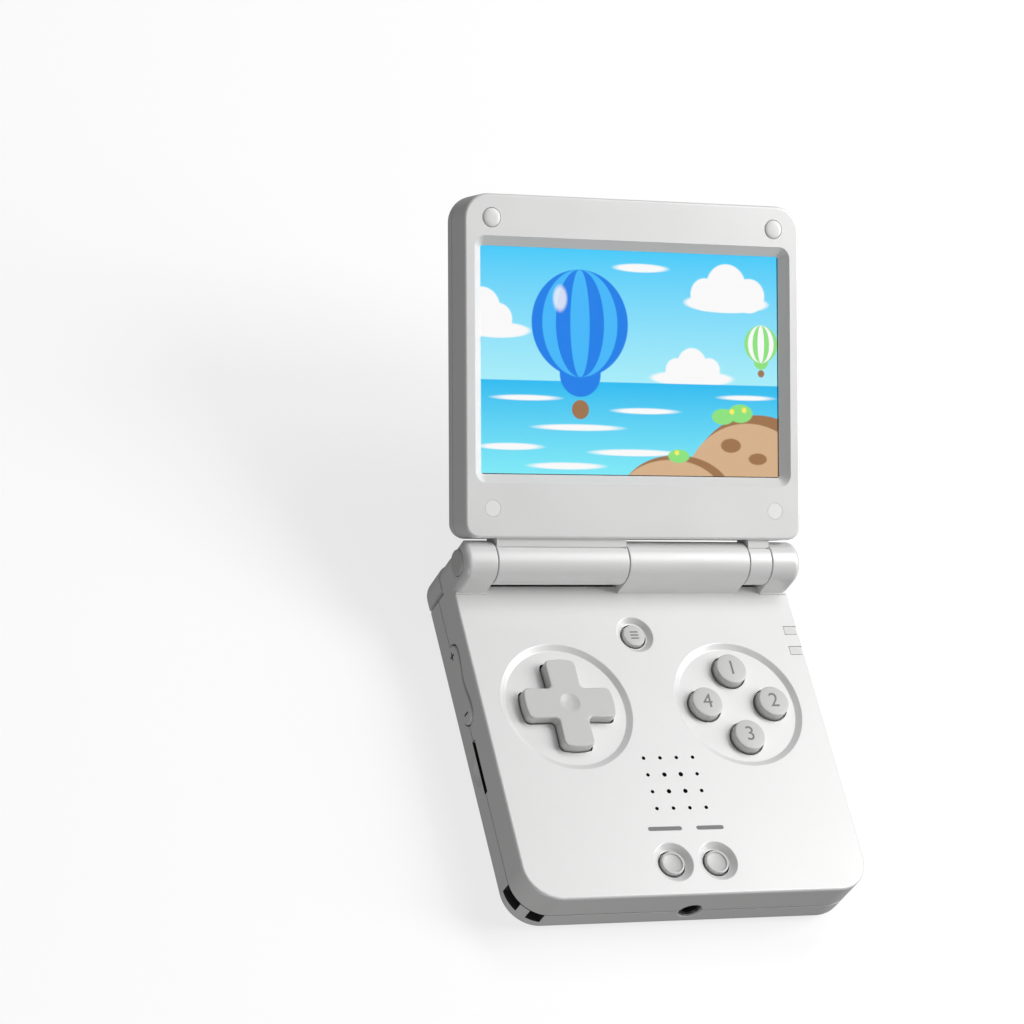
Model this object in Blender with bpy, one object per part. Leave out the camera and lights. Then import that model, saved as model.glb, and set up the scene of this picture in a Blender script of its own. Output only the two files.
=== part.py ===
# Clamshell handheld game console, open at its full angle.
# Metres, +Z up, +Y to the hinge, +X to the right. The origin is the centre of the base's underside.

import math

import bmesh
import bpy
from mathutils import Vector

# Clearances
piece_gap = 0.0003
trim_gap = 0.00015
running_gap = 0.0003
overrun = 0.002
seam_step = 0.0001

# Base housing
base_width = 0.0850
base_depth = 0.0867
base_height = 0.0150
parting_drop = 0.0079
front_corner_radius = 0.0083
rear_corner_radius = 0.0046
face_edge_radius = 0.0009
under_edge_radius = 0.0030
side_wall = 0.0016
face_wall = 0.0018
least_corner_radius = 0.0004

# Hinge: axis, barrels and their lengths from the left side to the right
opening_angle = math.radians(150)
hinge_inset = 0.0055
hinge_rise = 0.0051
barrel_radius = 0.0049
ear_end_radius = 0.0016
left_ear_length = 0.0078
right_ear_length = 0.0074
long_barrel_length = 0.0325
short_barrel_length = 0.0055
knuckle_foot = 0.0015

# Hinge hardware
end_cap_radius = 0.0030
end_cap_thickness = 0.0010
end_cap_bulge = 0.0002
shaft_radius = 0.0012
shaft_engagement = 0.0055
cartridge_radius = 0.0030
cartridge_length = 0.0160
pin_engagement = 0.0040
cable_thickness = 0.0002
cable_inner_radius = 0.0016
cable_turn_pitch = 0.0006
cable_turns = 2
cable_slot_width = 0.0010
cable_run_end = 0.0160
cable_run_level = 0.0008

# Lid housing, measured from the hinge axis along the lid and square to its face
lid_foot = 0.0054
lid_overhang = 0.0010
lid_thickness = 0.0114
lid_gap = 0.0005
lid_top_corner_radius = 0.0060
lid_foot_corner_radius = 0.0034
lid_face_edge_radius = 0.0006
lid_back_edge_radius = 0.0038
lid_back_depth = 0.0045
lid_wall = 0.0015
neck_front = 0.0034
neck_back = 0.0020
neck_root = 0.0020

# Screen, with the widths of the frame round it
screen_side_frame = 0.00455
screen_foot = 0.0197
screen_head_frame = 0.0115
screen_frame_slope = 0.0021
screen_corner_radius = 0.0015
screen_frame_depth = 0.0016
lid_face_wall = 0.0020
lens_thickness = 0.0008
lens_lap = 0.0012
panel_lap = 0.0015
panel_thickness = 0.0022
backing_thickness = 0.0005

# Lid fittings
lid_screw_inset = 0.0067
lid_upper_screw_inset = 0.0054
lid_lower_screw = 0.0120
bumper_radius = 0.0025
bumper_rise = 0.0004
bumper_thickness = 0.0012
cover_radius = 0.0022
lid_boss_radius = 0.0033
lid_screw_head_radius = 0.0016
lid_screw_head_height = 0.0009
lid_screw_shank_radius = 0.0006
lid_screw_length = 0.0066
badge_width = 0.0239
badge_height = 0.0073
badge_inset = 0.0077
badge_ring_width = 0.0008
badge_thickness = 0.0008
badge_rise = 0.0002
badge_dish = 0.0002
magnet_width = 0.0080
magnet_height = 0.0030
magnet_thickness = 0.0016
magnet_side = 0.0200

# Direction pad
pad_inset = 0.0209
pad_place_share = 0.5352
ring_radius = 0.0159
ring_slope = 0.0010
ring_depth = 0.0006
pad_span = 0.0222
pad_arm_width = 0.0074
pad_flare = 0.0002
pad_end_crown = 0.0005
pad_rise = 0.0017
pad_edge_radius = 0.0006
pad_gap = 0.0004
pad_dimple_radius = 0.0022
pad_dimple_depth = 0.0003
pad_flange_radius = 0.0086
pad_flange_thickness = 0.0007
pad_tilt_room = 0.0009
pivot_radius = 0.0014
pivot_neck_radius = 0.0010

# Face buttons
button_radius = 0.0038
button_spread = 0.0085
button_rise = 0.0014
button_crown = 0.00015
button_edge_radius = 0.0005
button_gap = 0.0004
flange_width = 0.0007
flange_thickness = 0.0007

# Small round buttons of the face
menu_place_share = 0.7451
menu_dish_radius = 0.0046
menu_button_radius = 0.0027
menu_dish_depth = 0.0011
menu_drop = 0.0002
start_side = 0.0055
start_inset = 0.0081
start_dish_radius = 0.0048
start_button_radius = 0.0028
start_dish_depth = 0.0013
start_drop = 0.0004
boss_wall = 0.0010
boss_depth = 0.0023
dish_lip = 0.00025

# Sound
grille_columns = 4
grille_rows = 4
grille_pitch_across = 0.0041
grille_pitch_along = 0.0042
grille_hole_radius = 0.0004
grille_place_share = 0.3080
speaker_radius = 0.0095
speaker_height = 0.0032
speaker_rim = 0.0012

# Status lights
light_first_share = 0.7555
light_second_share = 0.6943
light_width = 0.0020
light_reach = 0.0036
light_depth = 0.0024

# Left side: volume rocker; right side: power and reset buttons
rocker_length = 0.0194
rocker_width = 0.0048
rocker_waist = 0.0032
rocker_drop = 0.0070
rocker_rise = 0.0005
power_length = 0.0088
power_width = 0.0042
reset_length = 0.0058
reset_width = 0.0034
side_button_rise = 0.0004
side_flange = 0.0006

# Shares of a side's free room ahead of each of its pieces, from the front screw boss
left_room_shares = (0.8000, 0.1842)
right_room_shares = (0.5935, 0.0093, 0.1495)

# Card slots
slot_length = 0.0124
slot_height = 0.0010
slot_socket_depth = 0.0140
slot_socket_height = 0.0017
scoop_length = 0.0066
scoop_depth = 0.0009
scoop_height = 0.0026

# Shoulder buttons, measured in from the side and from the rear wall
corner_button_width = 0.0090
corner_button_depth = 0.0079
corner_button_drop = 0.0047
inner_button_inset = 0.0130
inner_button_width = 0.0089
inner_button_depth = 0.0039
inner_button_drop = 0.0051
shoulder_proud = 0.0003
shoulder_corner_radius = 0.0015
shoulder_front_gap = 0.0010
shoulder_foot = 0.0003

# Lanyard bar
lanyard_drop = 0.0031
lanyard_bar = 0.0014
lanyard_channel = 0.0019
lanyard_side_start = math.radians(183)
lanyard_bar_start = math.radians(219)
lanyard_bar_end = math.radians(236)
lanyard_front_end = math.radians(260)

# Ports
jack_hole_radius = 0.0027
jack_sleeve_radius = 0.0023
jack_bore_radius = 0.00175
jack_drop = 0.0081
jack_body_width = 0.0060
jack_body_depth = 0.0120
jack_body_height = 0.0050
jack_bore_depth = 0.0110
port_drop = 0.0085
port_wall = 0.0003
port_inset = 0.0006
usb_place_share = -0.0959
usb_width = 0.0089
usb_thickness = 0.0032
usb_depth = 0.0073
usb_corner_radius = 0.0014
usb_tongue_width = 0.0066
video_place_share = 0.0912
video_width = 0.0112
video_thickness = 0.0032
video_depth = 0.0075
video_taper = 0.0012
video_tongue_width = 0.0084
tongue_thickness = 0.0007
tongue_setback = 0.0010

# Base screws, measured in from the walls
screw_inset = 0.0043
front_screw_inset = 0.0108
rear_screw_inset = 0.0163
well_radius = 0.0026
well_roof = 0.0026
base_boss_radius = 0.0036
top_boss_radius = 0.0029
screw_head_radius = 0.0020
screw_head_height = 0.0013
screw_shank_radius = 0.0008
screw_end_room = 0.0010
screw_head_sink = 0.0016

# Inside
board_drop = 0.0067
board_thickness = 0.0010
board_side_room = 0.0047
board_front_room = 0.0033
board_rear_room = 0.0052
board_corner_radius = 0.0040
board_notch_width = 0.0125
board_notch_depth = 0.0108
switch_width = 0.0030
switch_height = 0.0018
processor_size = 0.0130
processor_thickness = 0.0011
processor_place_share = 0.6459
battery_side_room = 0.0195
battery_front_room = 0.0020
battery_rear_room = 0.0127
battery_top_room = 0.0009
battery_corner_radius = 0.0018
membrane_sheet = 0.0005
membrane_height = 0.0011
membrane_radius = 0.0126
dome_radius = 0.0024
pad_dome_reach = 0.0078
strip_half_width = 0.0100
strip_half_length = 0.0040
pivot_hole_radius = 0.0022

# Counts of flat steps in the rounds
corner_steps = 4
edge_steps = 3
back_edge_steps = 4
battery_edge_steps = 2
barrel_steps = 10
round_sides = 18
small_round_sides = 8
hole_sides = 6
ring_sides = 36
crown_steps = 4
crown_shares = (0.6,)

# The shell whose many walls merge into one closed body
many_walled = "base_top_shell"

def at_share(share):
    """Y of a place at a share of the base's depth from its front wall."""
    return front_line + face_edge_radius + share * base_depth


def along_side(lengths, shares):
    """Middles of pieces in a row between a side's screw bosses, with the free room shared out."""
    place = front_line + front_screw_inset + base_boss_radius
    room = rear_line - rear_screw_inset - base_boss_radius - place - sum(lengths)
    middles = []
    for length, share in zip(lengths, shares):
        place += share * room
        middles.append(place + length / 2)
        place += length
    return middles


# Worked out levels of the base
parting_height = base_height - parting_drop
board_low = base_height - board_drop
rocker_height = base_height - rocker_drop
corner_button_top = base_height - corner_button_drop
inner_button_top = base_height - inner_button_drop
jack_height = base_height - jack_drop
port_height = base_height - port_drop
lanyard_floor = parting_height - lanyard_drop
well_depth = parting_height - well_roof
screw_head_level = well_depth - screw_head_sink
screw_length = base_height - face_wall - screw_end_room - screw_head_level - screw_head_height

# Worked out from the sizes above
half_width = base_width / 2
front_line = -base_depth / 2
rear_line = base_depth / 2
axis_y = rear_line - hinge_inset
axis_z = base_height + hinge_rise
face_under = base_height - face_wall
board_top = board_low + board_thickness
top_shell_low = parting_height + piece_gap / 2
bottom_shell_high = parting_height - piece_gap / 2
lid_face = hinge_rise - lid_gap
lid_back = lid_face - lid_thickness
lid_parting = lid_back + lid_back_depth
lid_top = axis_y - front_line + lid_overhang
lid_face_under = lid_face - lid_face_wall
quarter_turn = math.pi / 2
screen_width = base_width - 2 * screen_side_frame
screen_height = lid_top - screen_head_frame - screen_foot
lid_screw_reach = half_width - lid_screw_inset
lid_upper_screw = lid_top - lid_upper_screw_inset
badge_place = lid_top - badge_inset

# Worked out places on the base
pad_side = half_width - pad_inset
pad_y = at_share(pad_place_share)
menu_y = at_share(menu_place_share)
start_y = front_line + start_inset
grille_y = at_share(grille_place_share)
light_rear_y = at_share(light_first_share)
light_front_y = at_share(light_second_share)
processor_y = at_share(processor_place_share)
usb_x = usb_place_share * base_width
video_x = video_place_share * base_width
socket_length = slot_length + side_wall
button_room = 2 * side_flange
left_slot_y, rocker_y = along_side((socket_length, rocker_length), left_room_shares)
right_slot_y, reset_y, power_y = along_side(
    (socket_length, reset_length + button_room, power_length + button_room), right_room_shares
)
corner_button_inner = half_width - corner_button_width
inner_button_outer = half_width - inner_button_inset
inner_button_inner = inner_button_outer - inner_button_width
screw_side = half_width - screw_inset
board_half_width = half_width - board_side_room
board_front = front_line + board_front_room
board_rear = rear_line - board_rear_room
board_notch_start = rear_line - board_notch_depth
jack_end = front_line + side_wall + piece_gap + jack_body_depth

# Finishes: colour, roughness, metallic
silver_paint = ((0.78, 0.78, 0.77), 0.38, 0.35)
light_key = ((0.62, 0.62, 0.61), 0.45, 0.0)
dark_plate = ((0.06, 0.06, 0.065), 0.35, 0.2)
bright_metal = ((0.75, 0.75, 0.76), 0.22, 1.0)
dull_steel = ((0.45, 0.46, 0.48), 0.35, 1.0)
dark_steel = ((0.12, 0.12, 0.13), 0.40, 0.9)
black_plastic = ((0.02, 0.02, 0.022), 0.50, 0.0)
soft_rubber = ((0.30, 0.30, 0.31), 0.80, 0.0)
white_rubber = ((0.72, 0.72, 0.72), 0.60, 0.0)
board_green = ((0.03, 0.16, 0.09), 0.45, 0.0)
battery_wrap = ((0.10, 0.11, 0.14), 0.55, 0.0)
screen_blue = ((0.05, 0.42, 0.72), 0.12, 0.0)
lens_clear = ((0.60, 0.70, 0.74), 0.05, 0.0)
light_window = ((0.55, 0.56, 0.56), 0.25, 0.0)
cable_amber = ((0.50, 0.26, 0.05), 0.45, 0.0)


# Outlines and solids

def rounded_outline(half, low, high, low_radius, high_radius, inset=0.0):
    """Outline with round corners between -half and half and between low and high, drawn in by inset."""
    low_now = max(low_radius - inset, least_corner_radius)
    high_now = max(high_radius - inset, least_corner_radius)
    side = half - inset
    foot = low + inset
    head = high - inset
    corners = (
        (side - low_now, foot + low_now, low_now, -quarter_turn),
        (side - high_now, head - high_now, high_now, 0.0),
        (high_now - side, head - high_now, high_now, quarter_turn),
        (low_now - side, foot + low_now, low_now, math.pi),
    )
    points = []
    for across, along, radius, start in corners:
        points += arc(across, along, radius, start, start + quarter_turn, corner_steps)
    return points


def arc(across, along, radius, start, end, steps):
    angles = [start + (end - start) * step / steps for step in range(steps + 1)]
    return [(across + radius * math.cos(a), along + radius * math.sin(a)) for a in angles]


def circle(across, along, radius, sides):
    return arc(across, along, radius, 0.0, 2 * math.pi, sides)[:-1]


def shifted(outline, across, along):
    return [(a + across, b + along) for a, b in outline]


def ring(outline, run, axis="Z"):
    """The outline's points set at a place along an axis."""
    if axis == "X":
        return [Vector((run, a, b)) for a, b in outline]
    if axis == "Y":
        return [Vector((a, run, b)) for a, b in outline]
    return [Vector((a, b, run)) for a, b in outline]


def edge_rings(outline_at, low, high, low_radius, high_radius, axis="Z", steps=edge_steps):
    """Rings from low to high of an outline whose two ends are rounded."""
    rings = []
    for step in range(steps + 1 if low_radius else 1):
        turn = quarter_turn * step / steps
        inset = low_radius * (1 - math.sin(turn))
        rings.append(ring(outline_at(inset), low + low_radius * (1 - math.cos(turn)), axis))
    for step in range(steps, -1, -1) if high_radius else [0]:
        turn = quarter_turn * step / steps
        inset = high_radius * (1 - math.sin(turn))
        rings.append(ring(outline_at(inset), high - high_radius * (1 - math.cos(turn)), axis))
    return rings


def loft(name, rings):
    """A closed solid skinned over rings that have the same number of points."""
    mesh = bmesh.new()
    rows = [[mesh.verts.new(point) for point in points] for points in rings]
    for first, second in zip(rows, rows[1:]):
        for near, near_next, far, far_next in zip(
            first, first[1:] + first[:1], second, second[1:] + second[:1]
        ):
            mesh.faces.new((near, near_next, far_next, far))
    mesh.faces.new(rows[0])
    mesh.faces.new(rows[-1])
    bmesh.ops.recalc_face_normals(mesh, faces=mesh.faces)
    data = bpy.data.meshes.new(name)
    mesh.to_mesh(data)
    mesh.free()
    part = bpy.data.objects.new(name, data)
    bpy.context.scene.collection.objects.link(part)
    return part


def prism(name, outline, low, high, axis="Z"):
    return loft(name, [ring(outline, low, axis), ring(outline, high, axis)])


def block(name, low_corner, high_corner):
    x_low, y_low, z_low = low_corner
    x_high, y_high, z_high = high_corner
    outline = [(x_low, y_low), (x_high, y_low), (x_high, y_high), (x_low, y_high)]
    return prism(name, outline, z_low, z_high)


def turned(name, profile, across, along, axis="Z", sides=round_sides):
    """A turned solid: the profile gives a place along the axis and the radius there."""
    return loft(name, [ring(circle(across, along, radius, sides), run, axis) for run, radius in profile])


def boolean(part, tool, operation):
    modifier = part.modifiers.new(tool.name, "BOOLEAN")
    modifier.operation = operation
    modifier.solver = "MANIFOLD" if part.name == many_walled else "EXACT"
    modifier.object = tool
    with bpy.context.temp_override(object=part, active_object=part):
        bpy.ops.object.modifier_apply(modifier=modifier.name)
    bpy.data.objects.remove(tool)


def cut(part, *tools):
    for tool in tools:
        boolean(part, tool, "DIFFERENCE")


def join(part, *tools):
    for tool in tools:
        boolean(part, tool, "UNION")


def keep(part, tool):
    boolean(part, tool, "INTERSECT")


def soften_top(part, width):
    """Rounds the edges of the flat top face."""
    mesh = bmesh.new()
    mesh.from_mesh(part.data)
    top = max(mesh.verts, key=lambda vertex: vertex.co.z).co.z
    rim = [
        edge for edge in mesh.edges
        if all(top - vertex.co.z < seam_step for vertex in edge.verts)
        and any(abs(face.normal.z) < 0.5 for face in edge.link_faces)
    ]
    bmesh.ops.bevel(mesh, geom=rim, offset=width, segments=3, profile=0.5, affect="EDGES")
    mesh.to_mesh(part.data)
    mesh.free()


def finished(part, finish, parent=None):
    """Gives the part its own material, smooth round faces and its place in the assembly."""
    colour, roughness, metallic = finish
    material = bpy.data.materials.new(part.name + "_finish")
    material.use_nodes = True
    shader = material.node_tree.nodes["Principled BSDF"]
    shader.inputs["Base Color"].default_value = (*colour, 1.0)
    shader.inputs["Roughness"].default_value = roughness
    shader.inputs["Metallic"].default_value = metallic
    part.data.materials.clear()
    part.data.materials.append(material)
    part.data.shade_smooth()
    part.data.set_sharp_from_angle(angle=math.radians(28))
    if parent is not None:
        part.parent = parent
    return part


def pivot(name, place, parent=None, tilt=0.0):
    """An empty on a joint's axis, which carries the pieces that move with it."""
    frame = bpy.data.objects.new(name, None)
    frame.location = place
    frame.rotation_euler.x = tilt
    frame.empty_display_size = base_height
    bpy.context.scene.collection.objects.link(frame)
    if parent is not None:
        frame.parent = parent
    return frame


def set_on(part, place):
    """Moves the part's own origin to a place, with its shape where it was."""
    for vertex in part.data.vertices:
        vertex.co -= Vector(place)
    part.location = place
    return part


# Places along the hinge
left_ear_end = left_ear_length - half_width
long_start = left_ear_end + piece_gap
long_end = long_start + long_barrel_length
centre_start = long_end + piece_gap
right_ear_start = half_width - right_ear_length
short_end = right_ear_start - piece_gap
short_start = short_end - short_barrel_length
centre_end = short_start - piece_gap
pocket_radius = barrel_radius + running_gap
pin_bore_radius = shaft_radius + running_gap
cartridge_bore_radius = cartridge_radius + running_gap

# Levels of the buttons' flanges and of what they press
membrane_low = board_top + piece_gap
membrane_high = membrane_low + membrane_height
flange_top = face_under - piece_gap
pad_flange_top = face_under - pad_tilt_room
pad_pivot_level = pad_flange_top - pad_flange_thickness - piece_gap
boss_foot = base_height - boss_depth

# Levels in the lid of its screws and their covers, and the cable's place along the hinge
cover_seat_level = lid_face + bumper_rise - bumper_thickness - trim_gap
lid_screw_seat = cover_seat_level - lid_screw_head_height - 2 * trim_gap
cable_start = long_start + cartridge_length + 3 * piece_gap
cable_end = long_end - lid_wall

screw_places = [
    (side * screw_side, along)
    for side in (-1, 1)
    for along in (front_line + front_screw_inset, rear_line - rear_screw_inset)
]


# Base housing

def base_outline(inset=0.0):
    return rounded_outline(
        half_width, front_line, rear_line, front_corner_radius, rear_corner_radius, inset
    )


def cavity_outline(inset):
    return base_outline(side_wall + inset)


def knuckle_outline(inset):
    """Side profile of an ear or barrel of the base: a round top on straight front and rear walls."""
    radius = barrel_radius - inset
    foot = base_height - knuckle_foot
    front_foot = (axis_y - radius, foot)
    rear_foot = (rear_line - 2 * seam_step - inset, foot)
    return [front_foot] + arc(axis_y, axis_z, radius, math.pi, 0.0, barrel_steps) + [rear_foot]


def knuckle(start, end, start_radius, end_radius):
    part = loft("knuckle", edge_rings(knuckle_outline, start, end, start_radius, end_radius, "X"))
    guide = prism("corner_guide", base_outline(seam_step), base_height - overrun, axis_z + pocket_radius)
    keep(part, guide)
    return part


def barrel_cutter(start, end, radius, sides=2 * barrel_steps):
    """A round cutter along the hinge of the base."""
    return turned("barrel_cutter", ((start, radius), (end, radius)), axis_y, axis_z, "X", sides)


def face_dish(across, along, radius, slope, depth, sides):
    """A cutter for a round dish in the face, with a sloped wall."""
    growth = overrun * slope / depth
    profile = ((base_height - depth, radius - slope), (base_height + overrun, radius + growth))
    return turned("dish", profile, across, along, "Z", sides)


def face_hole(across, along, radius, sides=round_sides):
    """A cutter straight through the face."""
    low = boss_foot - overrun
    return turned("face_hole", ((low, radius), (base_height + overrun, radius)), across, along, "Z", sides)


def through_side(name, outline, side):
    """A cutter along X through one side wall, from an outline of (y, z) points."""
    inner = side * (half_width - side_wall - overrun)
    outer = side * (half_width + overrun)
    return prism(name, outline, inner, outer, "X")


def side_openings():
    """The openings that both base shells share along their parting line, except the shoulder notches."""
    openings = [
        through_side("rocker_opening", rocker_outline(button_gap), -1),
        through_side("power_opening", power_outline(button_gap), 1),
        through_side("reset_opening", reset_outline(button_gap), 1),
    ]
    for side, middle in ((-1, left_slot_y), (1, right_slot_y)):
        openings.append(through_side("slot_opening", slot_outline(middle, piece_gap), side))
    jack_end = front_line + side_wall + overrun
    jack_profile = ((front_line - overrun, jack_hole_radius), (jack_end, jack_hole_radius))
    openings.append(turned("jack_opening", jack_profile, 0.0, jack_height, "Y"))
    for outline in (usb_outline(piece_gap), video_outline(piece_gap)):
        wall_inside = rear_line - side_wall
        openings.append(prism("port_opening", outline, wall_inside - overrun, rear_line + overrun, "Y"))
    return openings


def shoulder_outline(side, inner, outer, front, gap, front_gap):
    """Plan outline of a shoulder button's place, open past the rear wall."""
    centre = side * (inner + outer) / 2
    half = (outer - inner) / 2 - gap
    rear = rear_line + overrun
    outline = rounded_outline(half, front + front_gap, rear, shoulder_corner_radius, least_corner_radius)
    return shifted(outline, centre, 0.0)


def corner_button_outline(side, gap=0.0, front_gap=0.0):
    outer = half_width + overrun + gap
    front = rear_line - corner_button_depth
    return shoulder_outline(side, corner_button_inner, outer, front, gap, front_gap)


def inner_button_outline(side, gap=0.0, front_gap=0.0):
    front = rear_line - inner_button_depth
    return shoulder_outline(side, inner_button_inner, inner_button_outer, front, gap, front_gap)


def shoulder_notches():
    notches = []
    for side in (-1, 1):
        notches.append(prism("corner_notch", corner_button_outline(side), -overrun, corner_button_top))
        notches.append(prism("inner_notch", inner_button_outline(side), -overrun, inner_button_top))
    return notches


def rocker_outline(grow=0.0):
    """Side outline of the volume rocker: two round lobes with a waist between them, as (y, z)."""
    radius = rocker_width / 2 + grow
    straight = (rocker_length - rocker_width) / 2
    waist = rocker_waist / 2 + grow
    middle = rocker_y
    waist_place_shares = (0.36, 0.18, 0.0, -0.18, -0.36)
    waist_depth_shares = (0.0, 0.6, 1.0, 0.6, 0.0)
    shares = list(zip(waist_place_shares, waist_depth_shares))
    upper = [(middle + straight * a, rocker_height + radius - (radius - waist) * b) for a, b in shares]
    lower = [(2 * middle - y, 2 * rocker_height - z) for y, z in upper]
    rear_end = arc(middle + straight, rocker_height, radius, -quarter_turn, quarter_turn, corner_steps)
    front_end = arc(middle - straight, rocker_height, radius, quarter_turn, 3 * quarter_turn, corner_steps)
    return rear_end + upper + front_end + lower


def pill(middle, length, width, grow):
    """A round-ended side outline as (y, z), long way along Y."""
    radius = width / 2 + grow
    straight = (length - width) / 2
    rear_end = arc(middle + straight, rocker_height, radius, -quarter_turn, quarter_turn, corner_steps)
    front_end = arc(middle - straight, rocker_height, radius, quarter_turn, 3 * quarter_turn, corner_steps)
    return rear_end + front_end


def power_outline(grow):
    return pill(power_y, power_length, power_width, grow)


def reset_outline(grow):
    return pill(reset_y, reset_length, reset_width, grow)


def slot_outline(middle, grow=0.0):
    """A card slot's mouth as (y, z), on the parting line."""
    half = slot_length / 2 + grow
    low = parting_height - grow
    high = parting_height + slot_height + grow
    return [(middle - half, low), (middle + half, low), (middle + half, high), (middle - half, high)]


def usb_outline(grow=0.0):
    half = usb_width / 2 + grow
    low = port_height - usb_thickness / 2 - grow
    high = port_height + usb_thickness / 2 + grow
    radius = usb_corner_radius + grow
    return shifted(rounded_outline(half, low, high, radius, radius), usb_x, 0.0)


def video_outline(grow=0.0):
    """The video port's mouth: straight top, lower corners cut off at a slant, as (x, z)."""
    half = video_width / 2 + grow
    low = port_height - video_thickness / 2 - grow
    high = port_height + video_thickness / 2 + grow
    outline = [
        (half, port_height), (half, high), (-half, high), (-half, port_height),
        (video_taper - half, low), (half - video_taper, low),
    ]
    return shifted(outline, video_x, 0.0)


def light_block(middle, grow, low):
    """The space of a status light in the face's right edge."""
    half = light_width / 2 + grow
    inner = half_width - light_reach - grow
    return block("light_block", (inner, middle - half, low), (half_width + overrun, middle + half, axis_z))


def make_base_top_shell():
    shell = loft(many_walled, edge_rings(base_outline, top_shell_low, base_height, 0.0, face_edge_radius))
    cut(shell, loft("top_cavity", edge_rings(
        cavity_outline, top_shell_low - overrun, face_under, 0.0, face_edge_radius
    )))
    cut(shell, barrel_cutter(long_start - overrun, long_end + overrun, pocket_radius))
    cut(shell, barrel_cutter(short_start - overrun, short_end + overrun, pocket_radius))
    join(shell, knuckle(-half_width, left_ear_end, ear_end_radius, 0.0))
    join(shell, knuckle(centre_start, centre_end, 0.0, 0.0))
    join(shell, knuckle(right_ear_start, half_width, 0.0, ear_end_radius))
    boss_top = face_under + face_wall / 2
    for across, along in screw_places:
        profile = ((top_shell_low + piece_gap, top_boss_radius), (boss_top, top_boss_radius))
        join(shell, turned("screw_boss", profile, across, along))
    for side in (-1, 1):
        radius = start_button_radius + button_gap + boss_wall
        profile = ((boss_foot, radius), (boss_top, radius))
        join(shell, turned("button_boss", profile, side * start_side, start_y))
    cut(shell, *hinge_bores(), *face_openings(), *side_openings(), *shoulder_notches())
    for across, along in screw_places:
        radius = screw_shank_radius + piece_gap
        pilot_end = screw_head_level + screw_head_height + screw_length + piece_gap
        profile = ((top_shell_low - overrun, radius), (pilot_end, radius))
        cut(shell, turned("screw_pilot", profile, across, along, "Z", small_round_sides))
    return finished(shell, silver_paint)


def hinge_bores():
    cap_seat = half_width - end_cap_thickness - piece_gap
    cap_hole = end_cap_radius + trim_gap
    outside = half_width + overrun
    pin_hole_start = centre_end - pin_engagement - piece_gap
    return [
        barrel_cutter(-outside, left_ear_end + overrun, pin_bore_radius, small_round_sides),
        barrel_cutter(pin_hole_start, outside, pin_bore_radius, small_round_sides),
        barrel_cutter(-outside, -cap_seat, cap_hole, round_sides),
        barrel_cutter(cap_seat, outside, cap_hole, round_sides),
    ]


def face_openings():
    """Every dish and hole in the face of the base."""
    tools = []
    for side in (-1, 1):
        tools.append(face_dish(side * pad_side, pad_y, ring_radius, ring_slope, ring_depth, ring_sides))
    tools.append(prism("pad_opening", pad_outline(pad_gap), boss_foot - overrun, base_height + overrun))
    for across, reach in button_centres().values():
        tools.append(face_hole(across, reach, button_radius + button_gap))
    menu_hole = menu_button_radius + button_gap
    menu_slope = menu_dish_radius - menu_hole - dish_lip
    tools.append(face_dish(0.0, menu_y, menu_dish_radius, menu_slope, menu_dish_depth, round_sides))
    tools.append(face_hole(0.0, menu_y, menu_hole))
    start_hole = start_button_radius + button_gap
    start_slope = start_dish_radius - start_hole - dish_lip
    start_dish = (start_dish_radius, start_slope, start_dish_depth)
    for across in (-start_side, start_side):
        tools.append(face_dish(across, start_y, *start_dish, round_sides))
        tools.append(face_hole(across, start_y, start_hole))
    for column in range(grille_columns):
        for row in range(grille_rows):
            across = (column - (grille_columns - 1) / 2) * grille_pitch_across
            reach = grille_y + (row - (grille_rows - 1) / 2) * grille_pitch_along
            tools.append(face_hole(across, reach, grille_hole_radius, hole_sides))
    for middle in (light_rear_y, light_front_y):
        tools.append(light_block(middle, trim_gap, base_height - light_depth - trim_gap))
    return tools


def make_base_bottom_shell():
    shell = loft(
        "base_bottom_shell", edge_rings(base_outline, 0.0, bottom_shell_high, under_edge_radius, 0.0)
    )
    cut(shell, loft("bottom_cavity", edge_rings(
        cavity_outline, side_wall, bottom_shell_high + overrun, under_edge_radius - side_wall, 0.0
    )))
    corner_x = front_corner_radius - half_width
    corner_y = front_line + front_corner_radius
    filling = front_corner_radius - side_wall / 2
    corner_profile = ((side_wall / 2, filling), (bottom_shell_high - piece_gap, filling))
    join(shell, turned("lanyard_corner", corner_profile, corner_x, corner_y))
    for across, along in screw_places:
        profile = ((side_wall / 2, base_boss_radius), (bottom_shell_high - piece_gap, base_boss_radius))
        boss = turned("screw_boss", profile, across, along)
        keep(boss, loft("boss_guide", edge_rings(
            guide_outline, side_wall / 3, bottom_shell_high + overrun, under_edge_radius, 0.0
        )))
        join(shell, boss)
    for across, along in screw_places:
        hole = screw_shank_radius + piece_gap
        well = ((-overrun, well_radius), (well_depth, well_radius))
        cut(shell, turned("screw_well", well, across, along))
        profile = ((well_depth - overrun, hole), (bottom_shell_high + overrun, hole))
        cut(shell, turned("screw_hole", profile, across, along, "Z", small_round_sides))
    cut(shell, lanyard_channel_cutter(corner_x, corner_y))
    for side, middle in ((-1, left_slot_y), (1, right_slot_y)):
        cut(shell, finger_scoop(side, middle))
    cut(shell, *side_openings(), *shoulder_notches())
    return finished(shell, silver_paint)


def guide_outline(inset):
    return base_outline(side_wall / 3 + inset)


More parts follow.
